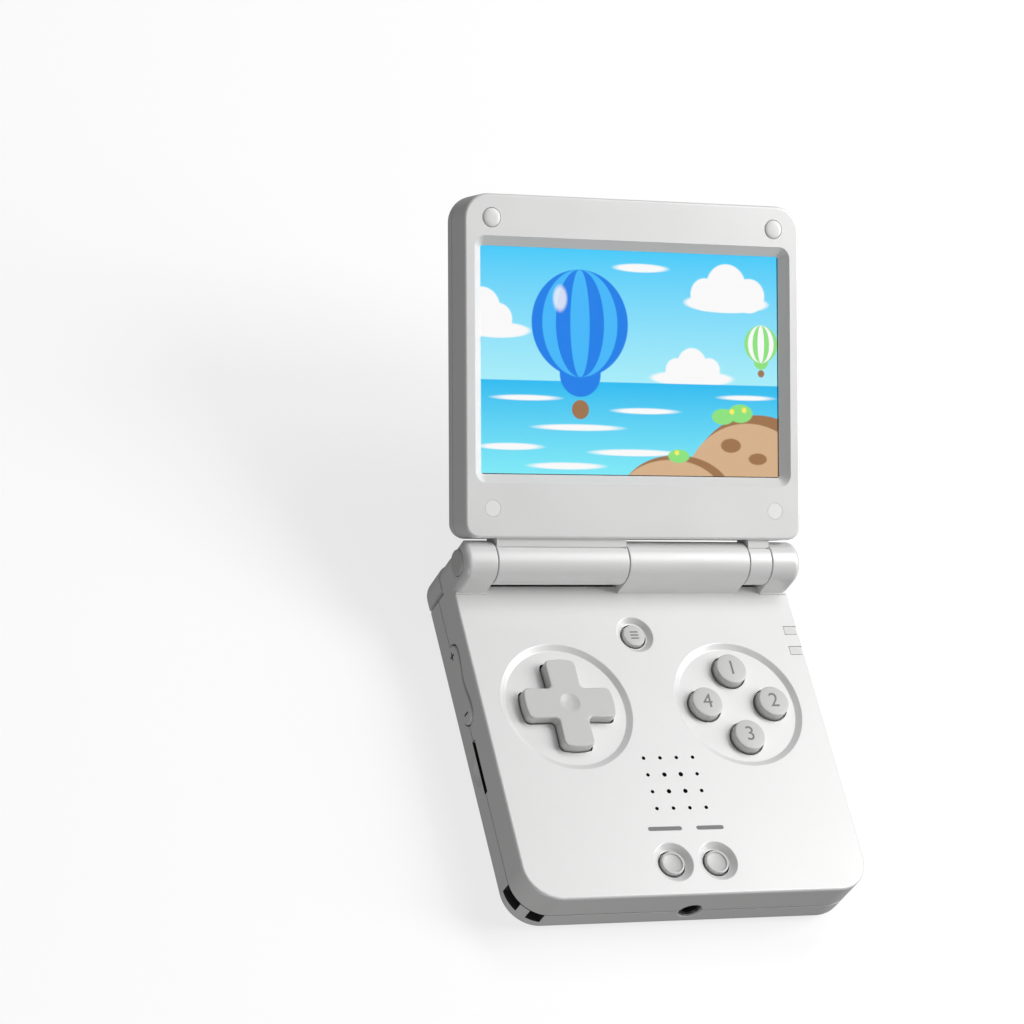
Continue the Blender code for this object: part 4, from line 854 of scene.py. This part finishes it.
# Lid back shell
# The outer half of the lid is a plain moulded tray with a broad soft edge all round and a shallow
# seat for the badge. It takes the four lid screws in bosses inside.
lid_skin = 0.0005


def badge_pill(name, inset, low, high):
    """The badge's outline on the lid's back, drawn in by inset."""
    foot = (-0.0121 + inset, 0.0707 + inset, low)
    return pill(name, foot, (0.0121 - inset, 0.0783 - inset, high), "Z")


back_shell = lid_block("lid_back_cover", lid_back, lid_parting - half_gap)
round_edges(back_shell, at_level(lid_back), 0.0033, 10)
round_edges(back_shell, at_level(lid_parting - half_gap), seam_round, 2)
back_space = lid_block("back_space", lid_back + lid_wall, lid_parting + beyond, lid_wall)
round_edges(back_space, at_level(lid_back + lid_wall), 0.0018, 4)
carve(back_shell, back_space)
for middle in lid_fixings["upper"] + lid_fixings["lower"]:
    guide = lid_block("boss_guide", lid_back + lid_skin, lid_parting + beyond, lid_skin)
    weld(back_shell, guided_boss(
        "lid_boss", middle, lid_boss_radius, lid_back + 0.00075, lid_parting - half_gap,
        guide, lid_back + lid_skin, 0.0032))
    carve(back_shell, rod("pilot", middle, lid_pilot_radius, -0.0045, lid_parting + beyond, sides=20))
carve(back_shell, badge_pill("badge_seat", 0.0, lid_back - beyond, lid_back + 0.0006))
finished(hang(back_shell), silver_paint, "lid", "housing", "lid_back_shell")


# Base screws
# Four short pan-head screws of blackened steel hold the base together. Each has a cross recess and
# a coarse rolled thread, and sits deep in its well, seen only from below.
def metal_finish(name, colour, roughness, grain=2500.0):
    """Plated metal: a slightly uneven tone and sheen with a fine grain."""
    finish = Finish(name, colour, roughness, 1.0)
    fine = finish.noise(grain)
    patch = finish.noise(180.0, 3.0)
    finish.shade(base_color=finish.blend(patch, tone(colour, 0.82), tone(colour, 1.12)))
    finish.shade(roughness=finish.spread(fine + patch, 0.6, 1.4, roughness - 0.08, roughness + 0.08))
    finish.relief(fine, 0.000004)
    return finish


blackened_steel = metal_finish("blackened_steel", (0.10, 0.10, 0.11), 0.36)
thread_start = 0.0046
thread_pitch = 0.0008
thread_root = 0.00066
thread_crest = 0.0008
screw_steps = [(0.0029, 0.0014), (0.00294, 0.00175), (0.0031, 0.0019), (0.0034, 0.0020), (0.0042, 0.0020),
               (0.00421, thread_crest)]
for turn in range(9):
    level = thread_start + turn * thread_pitch
    screw_steps += [(level, thread_root), (level + thread_pitch / 2, thread_crest)]
screw_steps.append((0.0122, 0.0003))
for number, middle in enumerate(screw_middles, 1):
    screw = turned(f"pan_head_screw_{number}", screw_steps, middle, sides=32)
    for half_x, half_y in ((0.0012, 0.00025), (0.00025, 0.0012)):
        low = (middle[0] - half_x, middle[1] - half_y, 0.0028)
        carve(screw, block("recess", low, (middle[0] + half_x, middle[1] + half_y, 0.0037)))
    finished(screw, blackened_steel, "base", "dark_screw", f"base_screw_{number}")


# Hinge hardware
# The hinge turns on a steel shaft in a spring-loaded friction cartridge on the left and on a plain
# steel pin on the right. A painted cap closes each end knuckle, pressed in and slightly domed.
def dress_nodes(finish, *names):
    """Gives solids that stay in sight their finish."""
    for name in names:
        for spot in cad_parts[name].material_slots:
            spot.material = finish.material


cap_paint = paint_finish("cap_paint", (0.62, 0.62, 0.615), 0.36, 0.12)
cap_steps = (
    (0.0415, 0.0030), (0.04240, 0.0030), (0.04258, 0.00295), (0.04272, 0.00284), (0.04281, 0.00266),
    (0.04285, 0.0024), (0.04285, 0.0017), (0.04283, 0.0009), (0.04282, 0.0002),
)
for side, name in ((-1, "left"), (1, "right")):
    steps = [(side * run, radius) for run, radius in cap_steps]
    cap = turned(f"knuckle_cap_{name}", steps, hinge_line, "X", 64)
    finished(cap, cap_paint, "base", "housing", f"hinge_end_cap_{name}")
plain_steel = metal_finish("plain_steel", (0.50, 0.51, 0.53), 0.32)
dress_nodes(plain_steel, "hinge_shaft", "hinge_pin", "hinge_cartridge")


# Inside the base
# The mainboard is green glass-epoxy with fine tracks, a black processor below and bright switch
# covers above. The flat battery is in dark film with a paler band, and the membranes are moulded
# in milky silicone rubber.
board_lacquer = Finish("board_lacquer", (0.02, 0.13, 0.07), 0.40, 0.0, {"Coat Weight": 0.3})
board_level = board_lacquer.node("SeparateXYZ", None, {0: board_lacquer.place}, 2)
tracks = board_lacquer.node("TexWave", {"bands_direction": "DIAGONAL"}, {
    "Vector": board_lacquer.place, "Scale": 260.0, "Distortion": 4.0}, 1)
track_line = board_lacquer.spread(tracks, 0.78, 0.86)
over_board = board_level > 0.00935
board_colour = board_lacquer.blend(track_line, (0.015, 0.10, 0.055, 1.0), (0.05, 0.24, 0.13, 1.0))
board_colour = board_lacquer.blend(board_level < 0.00828, board_colour, (0.02, 0.02, 0.022, 1.0))
board_colour = board_lacquer.blend(over_board, board_colour, (0.55, 0.55, 0.54, 1.0))
board_lacquer.shade(base_color=board_colour, metallic=over_board * 0.9)
board_lacquer.relief(track_line + board_lacquer.noise(1800.0) * 0.2, 0.00002)
dress_nodes(board_lacquer, "mainboard")

battery_film = Finish("battery_film", (0.05, 0.055, 0.07), 0.45)
battery_row = battery_film.node("SeparateXYZ", None, {0: battery_film.place}, 1)
band = (battery_row > -0.012) * (battery_row < 0.004)
battery_film.shade(base_color=battery_film.blend(band, (0.05, 0.055, 0.07, 1.0), (0.45, 0.46, 0.46, 1.0)))
battery_film.shade(roughness=battery_film.spread(battery_film.noise(300.0, 4.0), 0.3, 0.7, 0.35, 0.6))
battery_film.relief(battery_film.noise(220.0, 5.0), 0.00006)
dress_nodes(battery_film, "battery")


def clouded_finish(name, dark, light, roughness, cloud, grain, depth, fixed=None):
    """Rubber, plastic or ink that drifts between two near tones, with a fine relief of its own."""
    finish = Finish(name, light, roughness, 0.0, fixed)
    drift = finish.noise(*cloud)
    finish.shade(base_color=finish.blend(drift, (*dark, 1.0), (*light, 1.0)))
    finish.relief(finish.noise(grain) if grain else drift, depth)
    return finish


milky_rubber = clouded_finish(
    "milky_rubber", (0.66, 0.66, 0.65), (0.78, 0.78, 0.77), 0.6, (400.0, 3.0), 3000.0, 0.00001)
dress_nodes(milky_rubber, "dpad_membrane", "face_button_membrane", "start_select_membrane")


# Speaker and its gauze
# The speaker is a round moving-coil unit in a black frame. A disc of near-black woven gauze behind
# the sixteen grille holes is painted shade, so they look black from outside.
speaker_black = grained_finish("speaker_black", (0.03, 0.03, 0.032), 0.5, 1500.0, 3.0, 0.00002)
dress_nodes(speaker_black, "speaker")
# Painted shade: the near-black woven disc stands in for the shade inside the grille holes.
painted_shade_gauze = Finish("painted_shade_gauze", (0.006, 0.006, 0.006), 0.8)
weave = [
    painted_shade_gauze.node("TexWave", {"bands_direction": way}, {"Vector": painted_shade_gauze.place, "Scale": 1200.0}, 1)
    for way in ("X", "Y")
]
painted_shade_gauze.relief(weave[0] * weave[1], 0.00004)
gauze_steps = ((0.01290, 0.0088), (0.01292, 0.0090), (0.01308, 0.0090), (0.01310, 0.0088))
finished(turned("grille_painted_shade_gauze", gauze_steps, (0.0, grille_y)), painted_shade_gauze, "base", "black_plastic")


# Ports
# The two ports in the rear wall are folded from nickel-plated steel sheet and hold a black tongue
# with gold contact strips. The headphone jack is moulded in black plastic round a metal sleeve.
nickel = metal_finish("nickel_plate", (0.62, 0.61, 0.59), 0.24)
gold = metal_finish("gold_plate", (0.83, 0.60, 0.25), 0.22)
tongue_plastic = grained_finish("tongue_plastic", (0.02, 0.02, 0.022), 0.42)
port_mouth = 0.04275
port_sheet = 0.0003
tongue_tip = port_mouth - 0.0010
half_tongue = 0.00035
half_contact = 0.00039
for kind, node, corner, depth, place, half, pins in (
    ("usb", "usb_c_port", 0.0014, 0.0073, -0.00815, 0.0033, 12),
    ("video", "video_port", 0.0013, 0.0075, 0.00775, 0.0042, 10),
):
    back = port_mouth - depth
    shell = port_block(kind, f"{kind}_port_shell", back, port_mouth, 0.0, corner)
    carve(shell, port_block(
        kind, "hollow", back + port_sheet, port_mouth + beyond, port_sheet, corner - port_sheet))
    finished(shell, nickel, "base", "steel", node)
    tongue_root = (place - half, back + 0.00032, port_level - half_tongue)
    tongue = block(f"{kind}_tongue", tongue_root, (place + half, tongue_tip, port_level + half_tongue))
    round_edges(tongue, at_end("Y", tongue_tip), 0.00015, 2)
    finished(tongue, tongue_plastic, "base", "black_plastic")
    pitch = 2 * half / (pins + 1)
    strips = []
    for pin in range(pins):
        across = place - half + pitch * (pin + 1)
        low = (across - pitch * 0.25, port_mouth - 0.0050, port_level - half_contact)
        high = (across + pitch * 0.25, port_mouth - 0.0014, port_level + half_contact)
        strips.append(block(f"{kind}_contacts", low, high))
    weld(*strips)
    finished(strips[0], gold, "base", "steel")

jack = block("jack_housing", (-0.0030, -0.04145, 0.0044), (0.0030, -0.02945, 0.0094))
round_edges(jack, running("Y"), 0.0004, 3)
sleeve_steps = ((-0.0430, 0.0022), (-0.04292, 0.0023), (-0.0412, 0.0023))
weld(jack, turned("sleeve", sleeve_steps, jack_place, "Y"))
jack_bore = ((-0.0440, 0.0020), (-0.0430, 0.0020), (-0.0427, 0.00175), (-0.0320, 0.00175))
carve(jack, turned("bore", jack_bore, jack_place, "Y"))
finished(jack, tongue_plastic, "base", "black_plastic", "headphone_jack")
jack_ring = rod("jack_ring", jack_place, 0.00174, -0.0405, -0.0398, "Y")
carve(jack_ring, rod("ring_hole", jack_place, 0.00155, -0.0410, -0.0390, "Y"))
finished(jack_ring, nickel, "base", "steel")
dress_nodes(nickel, "card_socket_left", "card_socket_right")


# Status lights
# Two small windows of smoke-white plastic, flush in the face's right edge and bent down over it.
# Light emitters on the mainboard shine through them when the console is on.
window_plastic = clouded_finish(
    "window_plastic", (0.72, 0.72, 0.715), (0.80, 0.80, 0.795), 0.22, (900.0, 2.0), None, 0.000004,
    {"Coat Weight": 0.4})
light_level = face_level - 0.00002
for node, middle in light_middles.items():
    light = base_block(node + "_window", 0.0126, light_level, 0.00002)
    round_edges(light, at_level(light_level), 0.0009, 6)
    trim(light, block("light_guide", (0.0389, middle - 0.0010, 0.012), (0.0445, middle + 0.0010, 0.0165)))
    finished(light, window_plastic, "base", "light_window", node)


# Direction pad
# A one-piece cross of smooth light grey plastic with softly rounded edges and a thumb dimple. It
# rocks on a steel post, and a round flange under the face keeps it in.
key_plastic = paint_finish("key_plastic", (0.62, 0.62, 0.612), 0.38, 0.0)
pad_top = face_level + 0.0017
dimple_depth = 0.0003
dimple_radius = 0.0024
pad = cross("direction_pad", 0.0111, 0.0037, 0.01195, pad_top)
round_edges(pad, at_level(pad_top), 0.00042, 5)
dimple = [(pad_top - dimple_depth, 0.0006)]
for share in (0.45, 0.65, 0.82, 0.93):
    dimple.append((pad_top - dimple_depth + dimple_depth * share ** 2, dimple_radius * share))
dimple += [(pad_top - 0.00001, dimple_radius), (pad_top + beyond, dimple_radius + 0.00001)]
carve(pad, turned("dimple", dimple, pad_middle, sides=64))
weld(pad, rod("flange", pad_middle, 0.0086, 0.0116, 0.0123, sides=64))
finished(pad, key_plastic, "dpad", "key", "dpad")
dress_nodes(plain_steel, "dpad_pivot")


# Face buttons
# Four round buttons moulded in the pad's plastic, with a softly crowned top and a flange below the
# face. Each carries a plain numeral printed in grey ink.
flange_foot = 0.0122
flange_height = 0.0007
flange_reach = 0.0007


def cap_side(foot, radius, shoulder, edge):
    """Profile of a turned button from its flange to the end of its rounded shoulder."""
    flange_top = foot + flange_height
    flange = radius + flange_reach
    profile = [(foot, flange), (flange_top, flange), (flange_top + 0.00001, radius)]
    for step in range(7):
        turn = quarter_turn * step / 6
        profile.append((shoulder + edge * math.sin(turn), radius - edge * (1.0 - math.cos(turn))))
    return profile


def crowned_cap(radius, top, edge, crown):
    """Profile of a turned button with a softly crowned top."""
    profile = cap_side(flange_foot, radius, top - crown - edge, edge)
    for share in (0.85, 0.65, 0.4, 0.15):
        profile.append((top - crown * share ** 2, (radius - edge) * share))
    return profile


grey_ink = clouded_finish(
    "grey_ink", (0.17, 0.17, 0.17), (0.24, 0.24, 0.24), 0.5, (2500.0, 2.0), None, 0.000004)


def printed(name, words, size, place, body):
    """A line of ink laid flat on a level surface."""
    bpy.ops.object.select_all(action="DESELECT")
    bpy.ops.object.text_add(location=place)
    line = bpy.context.object
    line.name = name
    line.data.body = words
    line.data.size = size
    line.data.align_x = "CENTER"
    line.data.align_y = "CENTER"
    line.data.extrude = 0.00002
    bpy.ops.object.convert(target="MESH")
    piece = placed(name)
    bpy.ops.object.mode_set(mode="EDIT")
    bpy.ops.mesh.select_all(action="SELECT")
    bpy.ops.mesh.remove_doubles(threshold=hair)
    bpy.ops.mesh.normals_make_consistent(inside=False)
    leave_edit()
    return finished(piece, grey_ink, body, "black_plastic")


button_top = face_level + 0.0014
button_steps = crowned_cap(0.0038, button_top, 0.00038, 0.00012)
numeral_size = 0.0050
numerals = {"button_x": "1", "button_a": "2", "button_b": "3", "button_y": "4"}
for node, middle in button_middles.items():
    finished(turned(node + "_cap", button_steps, middle, sides=80), key_plastic, node, "key", node)
    printed(node + "_numeral", numerals[node], numeral_size, (*middle, button_top - 0.00001), node)


# Menu, select and start buttons
# Three small round buttons of the same plastic, each at the bottom of a funnel in the face. Short
# printed bars mark the lower pair, and the menu button has three.
menu_top = face_level - 0.0002
menu_cap = turned("menu_cap", crowned_cap(0.0027, menu_top, 0.0003, 0.0001), menu_middle, sides=64)
finished(menu_cap, key_plastic, "menu_button", "key", "menu_button")
small_top = face_level - 0.0004
small_edge = 0.00025
small_floor = small_top - 0.00028
small_steps = cap_side(0.0117, 0.0028, small_top - small_edge, small_edge) + [
    (small_top, 0.00235), (small_top - 0.00008, 0.00225), (small_top - 0.00022, 0.00215),
    (small_floor, 0.0020), (small_floor, 0.0003),
]
for node, middle in start_middles.items():
    finished(turned(node + "_cap", small_steps, middle, sides=64), key_plastic, node, "key", node)


def ink_bar(name, middle, half_x, half_y, level, sunk, body):
    """A printed bar with round ends, a little of it sunk in what it is printed on."""
    across, along = middle
    low = (across - half_x, along - half_y, level - sunk)
    high = (across + half_x, along + half_y, level + 0.00002)
    return finished(pill(name, low, high, "Z"), grey_ink, body, "black_plastic")


for number, shift in enumerate((-0.0008, 0.0, 0.0008), 1):
    place = (menu_middle[0], menu_middle[1] + shift)
    ink_bar(f"menu_bar_{number}", place, 0.0010, 0.00016, menu_top, 0.00006, "menu_button")
bar_y = -0.02705
ink_bar("select_bar", (-0.0055, bar_y), 0.0042, 0.0005, face_level, 0.00003, "base")
ink_bar("start_bar", (0.0057, bar_y), 0.0034, 0.0005, face_level, 0.00003, "base")


# Side buttons
# The volume rocker on the left wall, with a black plus and minus, and the power and reset buttons on
# the right wall are moulded and sprayed like the housing. They stand a little proud and have a
# flange inside the wall.
rocker_face = -0.04295
mark_shift = 0.0073
long_half = 0.0010
short_half = 0.00020
rocker = rocker_shape("volume_key", rocker_face, -0.0403)
round_edges(rocker, at_end("X", rocker_face), 0.0003, 4)
weld(rocker, block("flange", (-0.0406, 0.00855, 0.0058), (-0.0400, 0.01835, 0.0102)))
finished(rocker, silver_paint, "volume_rocker", "housing", "volume_rocker")
for number, (shift, half_y, half_z) in enumerate((
    (mark_shift, long_half, short_half), (mark_shift, short_half, long_half),
    (-mark_shift, short_half, long_half),
), 1):
    along = rocker_y + shift
    low = (rocker_face - 0.00002, along - half_y, side_level - half_z)
    mark = block(f"volume_mark_{number}", low, (rocker_face + 0.00005, along + half_y, side_level + half_z))
    round_edges(mark, running("X"), 0.00012, 3)
    finished(mark, painted_shade_and_mark_black, "volume_rocker", "black_plastic")
key_face = 0.04285
for node in side_keys:
    key = pill(node + "_key", *key_span(node, 0.0403, key_face, 0.0), "X")
    round_edges(key, at_end("X", key_face), 0.0003, 4)
    weld(key, block("flange", *key_span(node, 0.0400, 0.0406, 0.0006)))
    finished(key, silver_paint, node, "housing", node)


# Shoulder buttons
# Four buttons wrap the rounded lower rear edge of the base, two at its corners and two between
# them. They are moulded to the housing's own curve, sprayed like it, and stand 0.3 mm proud.
proud = 0.0003
for side, mark in ((-1, "l"), (1, "r")):
    for number, inner, outer, front, top in (
        (1, 0.0338, 0.0445, 0.03645, 0.0100), (2, 0.0209, 0.0292, 0.04045, 0.0096),
    ):
        node = f"shoulder_{mark}{number}"
        key = base_block(node + "_key", proud, top, -proud)
        round_edges(key, at_level(proud), under_round, 9)
        trim(key, shoulder_block(side, inner, outer, front, face_level, 8))
        round_edges(key, at_level(top), 0.0003, 3)
        finished(key, silver_paint, node, "housing", node)


# Display
# A clear glass lens is stuck behind the screen window. Under it lies the panel, a lit picture in a
# black frame with a steel backing. The picture is a made-up seaside view, in millimetres on the lid.
lens_glass = Finish("lens_glass", (1.0, 1.0, 1.0), 0.03, 0.0, {"Transmission Weight": 1.0, "IOR": 1.45})
lens_glass.shade(roughness=lens_glass.spread(lens_glass.noise(120.0, 3.0), 0.3, 0.7, 0.015, 0.045))
lens_top = 0.00245
lens = screen_block("window_glass", 0.00165, lens_top, 0.0012)
round_edges(lens, at_level(lens_top), 0.0001, 2)
finished(hang(lens), lens_glass, "lid", "lens", "display_lens")

picture = Finish("lit_picture", (0.0, 0.0, 0.0), 0.4, 0.0, {
    "Specular IOR Level": 0.05, "Emission Strength": 1.0})
millimetre = (0.001, 0.001, 0.001)


def laid(finish, place, location, turn, scale):
    """A place counted from a location along turned and scaled axes."""
    return finish.node("Mapping", {"vector_type": "TEXTURE"}, {
        "Vector": place, "Location": location, "Rotation": turn, "Scale": scale})


flat = laid(picture, picture.place, (0.0, hinge_y, hinge_z), (lid_tilt, 0.0, 0.0), millimetre)
across = picture.node("SeparateXYZ", None, {0: flat}, 0)
up = picture.node("SeparateXYZ", None, {0: flat}, 1)
level_place = picture.node("CombineXYZ", None, {0: across, 1: up, 2: 0.0})


def disc(middle, radius, squeeze=1.0, edge=0.25):
    """One inside a round spot of the picture and nought outside it."""
    spot = laid(picture, level_place, (*middle, 0.0), (0.0, 0.0, 0.0), (squeeze, 1.0, 1.0))
    reach = picture.node("VectorMath", {"operation": "LENGTH"}, {0: spot}, "Value")
    return picture.spread(reach, radius, radius + edge, 1.0, 0.0)


white = (1.0, 1.0, 1.0, 1.0)
deep_blue = (0.01, 0.22, 0.85, 1.0)
bright_blue = (0.06, 0.50, 1.0, 1.0)
brown = (0.36, 0.18, 0.08, 1.0)
tan = (0.70, 0.46, 0.27, 1.0)
leaf_green = (0.28, 0.80, 0.22, 1.0)
yellow = (1.0, 0.90, 0.12, 1.0)
horizon = 41.0
cloud_spots = (
    ((19.5, 61.5), 3.6, 1.0), ((25.0, 63.5), 5.0, 1.0), ((31.0, 61.5), 3.8, 1.0), ((25.0, 59.6), 2.0, 5.0),
    ((-33.0, 54.5), 3.4, 1.0), ((-37.0, 57.0), 4.4, 1.0), ((-33.0, 52.0), 1.6, 4.5),
    ((12.0, 44.0), 2.6, 1.0), ((16.0, 45.4), 3.6, 1.0), ((20.5, 44.2), 2.6, 1.0), ((16.0, 42.2), 1.6, 6.0),
    ((3.0, 67.0), 0.8, 7.0),
)
wave_spots = (
    ((-26.0, 37.0), 0.45, 13.0), ((4.0, 34.5), 0.5, 12.0), ((-13.0, 30.5), 0.55, 15.0),
    ((-30.0, 26.0), 0.6, 10.0), ((1.0, 25.0), 0.6, 14.0), ((-16.0, 21.8), 0.6, 12.0),
    ((30.0, 38.0), 0.4, 12.0),
)
dune_spots = (
    ((33.0, 17.0), 17.0, 1.05, brown), ((30.5, 16.0), 16.0, 1.05, tan), ((12.0, 15.0), 9.5, 1.5, brown),
    ((10.5, 14.4), 9.0, 1.5, tan), ((26.0, 27.0), 1.5, 1.6, brown), ((33.0, 24.0), 1.2, 1.8, brown),
    ((24.0, 33.6), 1.7, 1.6, leaf_green), ((28.5, 34.4), 2.0, 1.5, leaf_green),
    ((26.3, 34.8), 0.5, 1.0, yellow), ((29.5, 35.2), 0.5, 1.0, yellow),
    ((12.5, 24.4), 1.4, 1.8, leaf_green), ((12.0, 25.2), 0.45, 1.0, yellow),
)
balloons = (
    ((-12.5, 54.0), 12.0, (deep_blue, bright_blue, deep_blue, bright_blue)),
    ((34.0, 50.5), 4.2, (leaf_green, white, leaf_green, white)),
)
view = picture.blend(picture.spread(up, 40.0, 71.0), (0.42, 0.90, 1.0, 1.0), (0.06, 0.62, 1.0, 1.0))
for spot in cloud_spots:
    view = picture.blend(disc(*spot, 0.3), view, white)
sea = picture.blend(picture.spread(up, 20.0, horizon), (0.22, 0.86, 0.98, 1.0), (0.02, 0.52, 0.92, 1.0))
view = picture.blend(picture.spread(horizon - up, 0.0, 0.2), view, sea)
for spot in wave_spots:
    view = picture.blend(disc(*spot, 0.3), view, white)
for *spot, colour in dune_spots:
    view = picture.blend(disc(*spot), view, colour)
for middle, radius, stripes in balloons:
    for drop, share, colour in ((1.62, 0.17, brown), (0.95, 0.42, stripes[0])):
        view = picture.blend(disc((middle[0], middle[1] - radius * drop), radius * share), view, colour)
    for squeeze, colour in zip((1.0, 0.78, 0.5, 0.2), stripes):
        view = picture.blend(disc(middle, radius, squeeze), view, colour)
view = picture.blend(disc((-17.5, 59.5), 2.2, 0.6, 1.2) * 0.7, view, white)
lit = (across > -38.25) * (across < 38.25) * (up > 19.95) * (up < 70.9)
picture.shade(emission_color=picture.blend(lit, (0.0, 0.0, 0.0, 1.0), view))
picture.relief(picture.noise(3000.0), 0.000004)
panel_frame = grained_finish("panel_frame", (0.02, 0.02, 0.022), 0.4, 1800.0)
panel_back = -0.00085
panel = screen_block("picture_panel", panel_back, 0.00135, 0.0015)
round_edges(panel, at_level(panel_back), 0.0003, 2)
finished(hang(panel), picture, "lid", "picture", "display_panel")
panel.visible_diffuse = False
lid_out = Vector((0.0, -math.sin(lid_tilt), math.cos(lid_tilt)))
darken(panel, panel_frame, lambda centre, normal: normal.dot(lid_out) < 0.9)
dress_nodes(plain_steel, "display_backing")


# Lid fittings
# Soft domed bumpers stick over the two upper lid screws and meet the base when the lid is shut.
# Flush painted covers hide the two lower screws. A closing magnet sits beside the right bumper.
bumper_rubber = clouded_finish(
    "bumper_rubber", (0.80, 0.80, 0.79), (0.85, 0.85, 0.84), 0.40, (700.0, 2.0), 4000.0, 0.000006)
bumper_radius = 0.00215
bumper_side = 0.00455
bumper_dome = 0.00043
bumper_steps = [(0.0038, bumper_radius), (bumper_side, bumper_radius)]
for step in range(1, 9):
    turn = quarter_turn * step / 9
    bumper_steps.append((bumper_side + bumper_dome * math.sin(turn), bumper_radius * math.cos(turn) ** 0.6))
bumper_steps.append((bumper_side + bumper_dome, 0.0002))
cover_paint = paint_finish("cover_paint", (0.88, 0.88, 0.875), 0.40, 0.05)
cover_steps = ((0.0038, 0.00187), (lid_face - 0.00003, 0.00187), (lid_face, 0.00185))
for group, steps, finish, slot, name in (
    ("upper", bumper_steps, bumper_rubber, "bumper", "lid_bumper"),
    ("lower", cover_steps, cover_paint, "housing", "screw_cover"),
):
    for middle, side in zip(lid_fixings[group], ("left", "right")):
        node = f"{name}_{side}"
        finished(hang(turned(node + "_disc", steps, middle, sides=64)), finish, "lid", slot, node)
dress_nodes(blackened_steel, "lid_screw_1", "lid_screw_2", "lid_screw_3", "lid_screw_4")
dress_nodes(nickel, "closing_magnet")


# Badge
# A pill-shaped badge on the lid's back: a plain dark brushed plate in a polished ring. Both are
# pressed into a shallow seat.
polished_ring = metal_finish("polished_ring", (0.80, 0.80, 0.81), 0.16)
ring_top = -0.0070
badge_ring = badge_pill("badge_rim", 0.00015, ring_top, -0.00635)
round_edges(badge_ring, at_level(ring_top), 0.0002, 3)
carve(badge_ring, badge_pill("ring_hole", 0.00095, -0.0090, -0.0050))
finished(hang(badge_ring), polished_ring, "lid", "badge_metal", "badge_ring")
dark_brushed = Finish("dark_brushed", (0.05, 0.05, 0.055), 0.30, 0.6)
streaks = dark_brushed.node("Mapping", None, {"Vector": dark_brushed.place, "Scale": (0.03, 1.0, 1.0)})
brushed = dark_brushed.node("TexNoise", None, {"Vector": streaks, "Scale": 9000.0, "Detail": 2.0})
brushed_colour = dark_brushed.blend(brushed, (0.035, 0.035, 0.04, 1.0), (0.075, 0.075, 0.08, 1.0))
dark_brushed.shade(base_color=brushed_colour)
dark_brushed.shade(roughness=dark_brushed.spread(brushed, 0.3, 0.7, 0.24, 0.38))
dark_brushed.relief(brushed, 0.00001)
plate_top = -0.0068
plate = badge_pill("badge_face", 0.0011, plate_top, -0.00635)
round_edges(plate, at_level(plate_top), 0.0001, 2)
finished(hang(plate), dark_brushed, "lid", "badge_dark", "badge_plate")


# Display cable
# A flat amber polyimide cable with copper tracks is coiled in the long hinge barrel and runs up
# into the lid.
polyimide = Finish("polyimide", (0.50, 0.24, 0.05), 0.35, 0.0, {"Coat Weight": 0.5})
copper = polyimide.node("TexWave", {"bands_direction": "X"}, {"Vector": polyimide.place, "Scale": 700.0}, 1)
copper_line = polyimide.spread(copper, 0.45, 0.55)
polyimide.shade(base_color=polyimide.blend(copper_line, (0.42, 0.19, 0.04, 1.0), (0.66, 0.36, 0.12, 1.0)))
polyimide.relief(copper_line, 0.00001)
dress_nodes(polyimide, "display_cable")
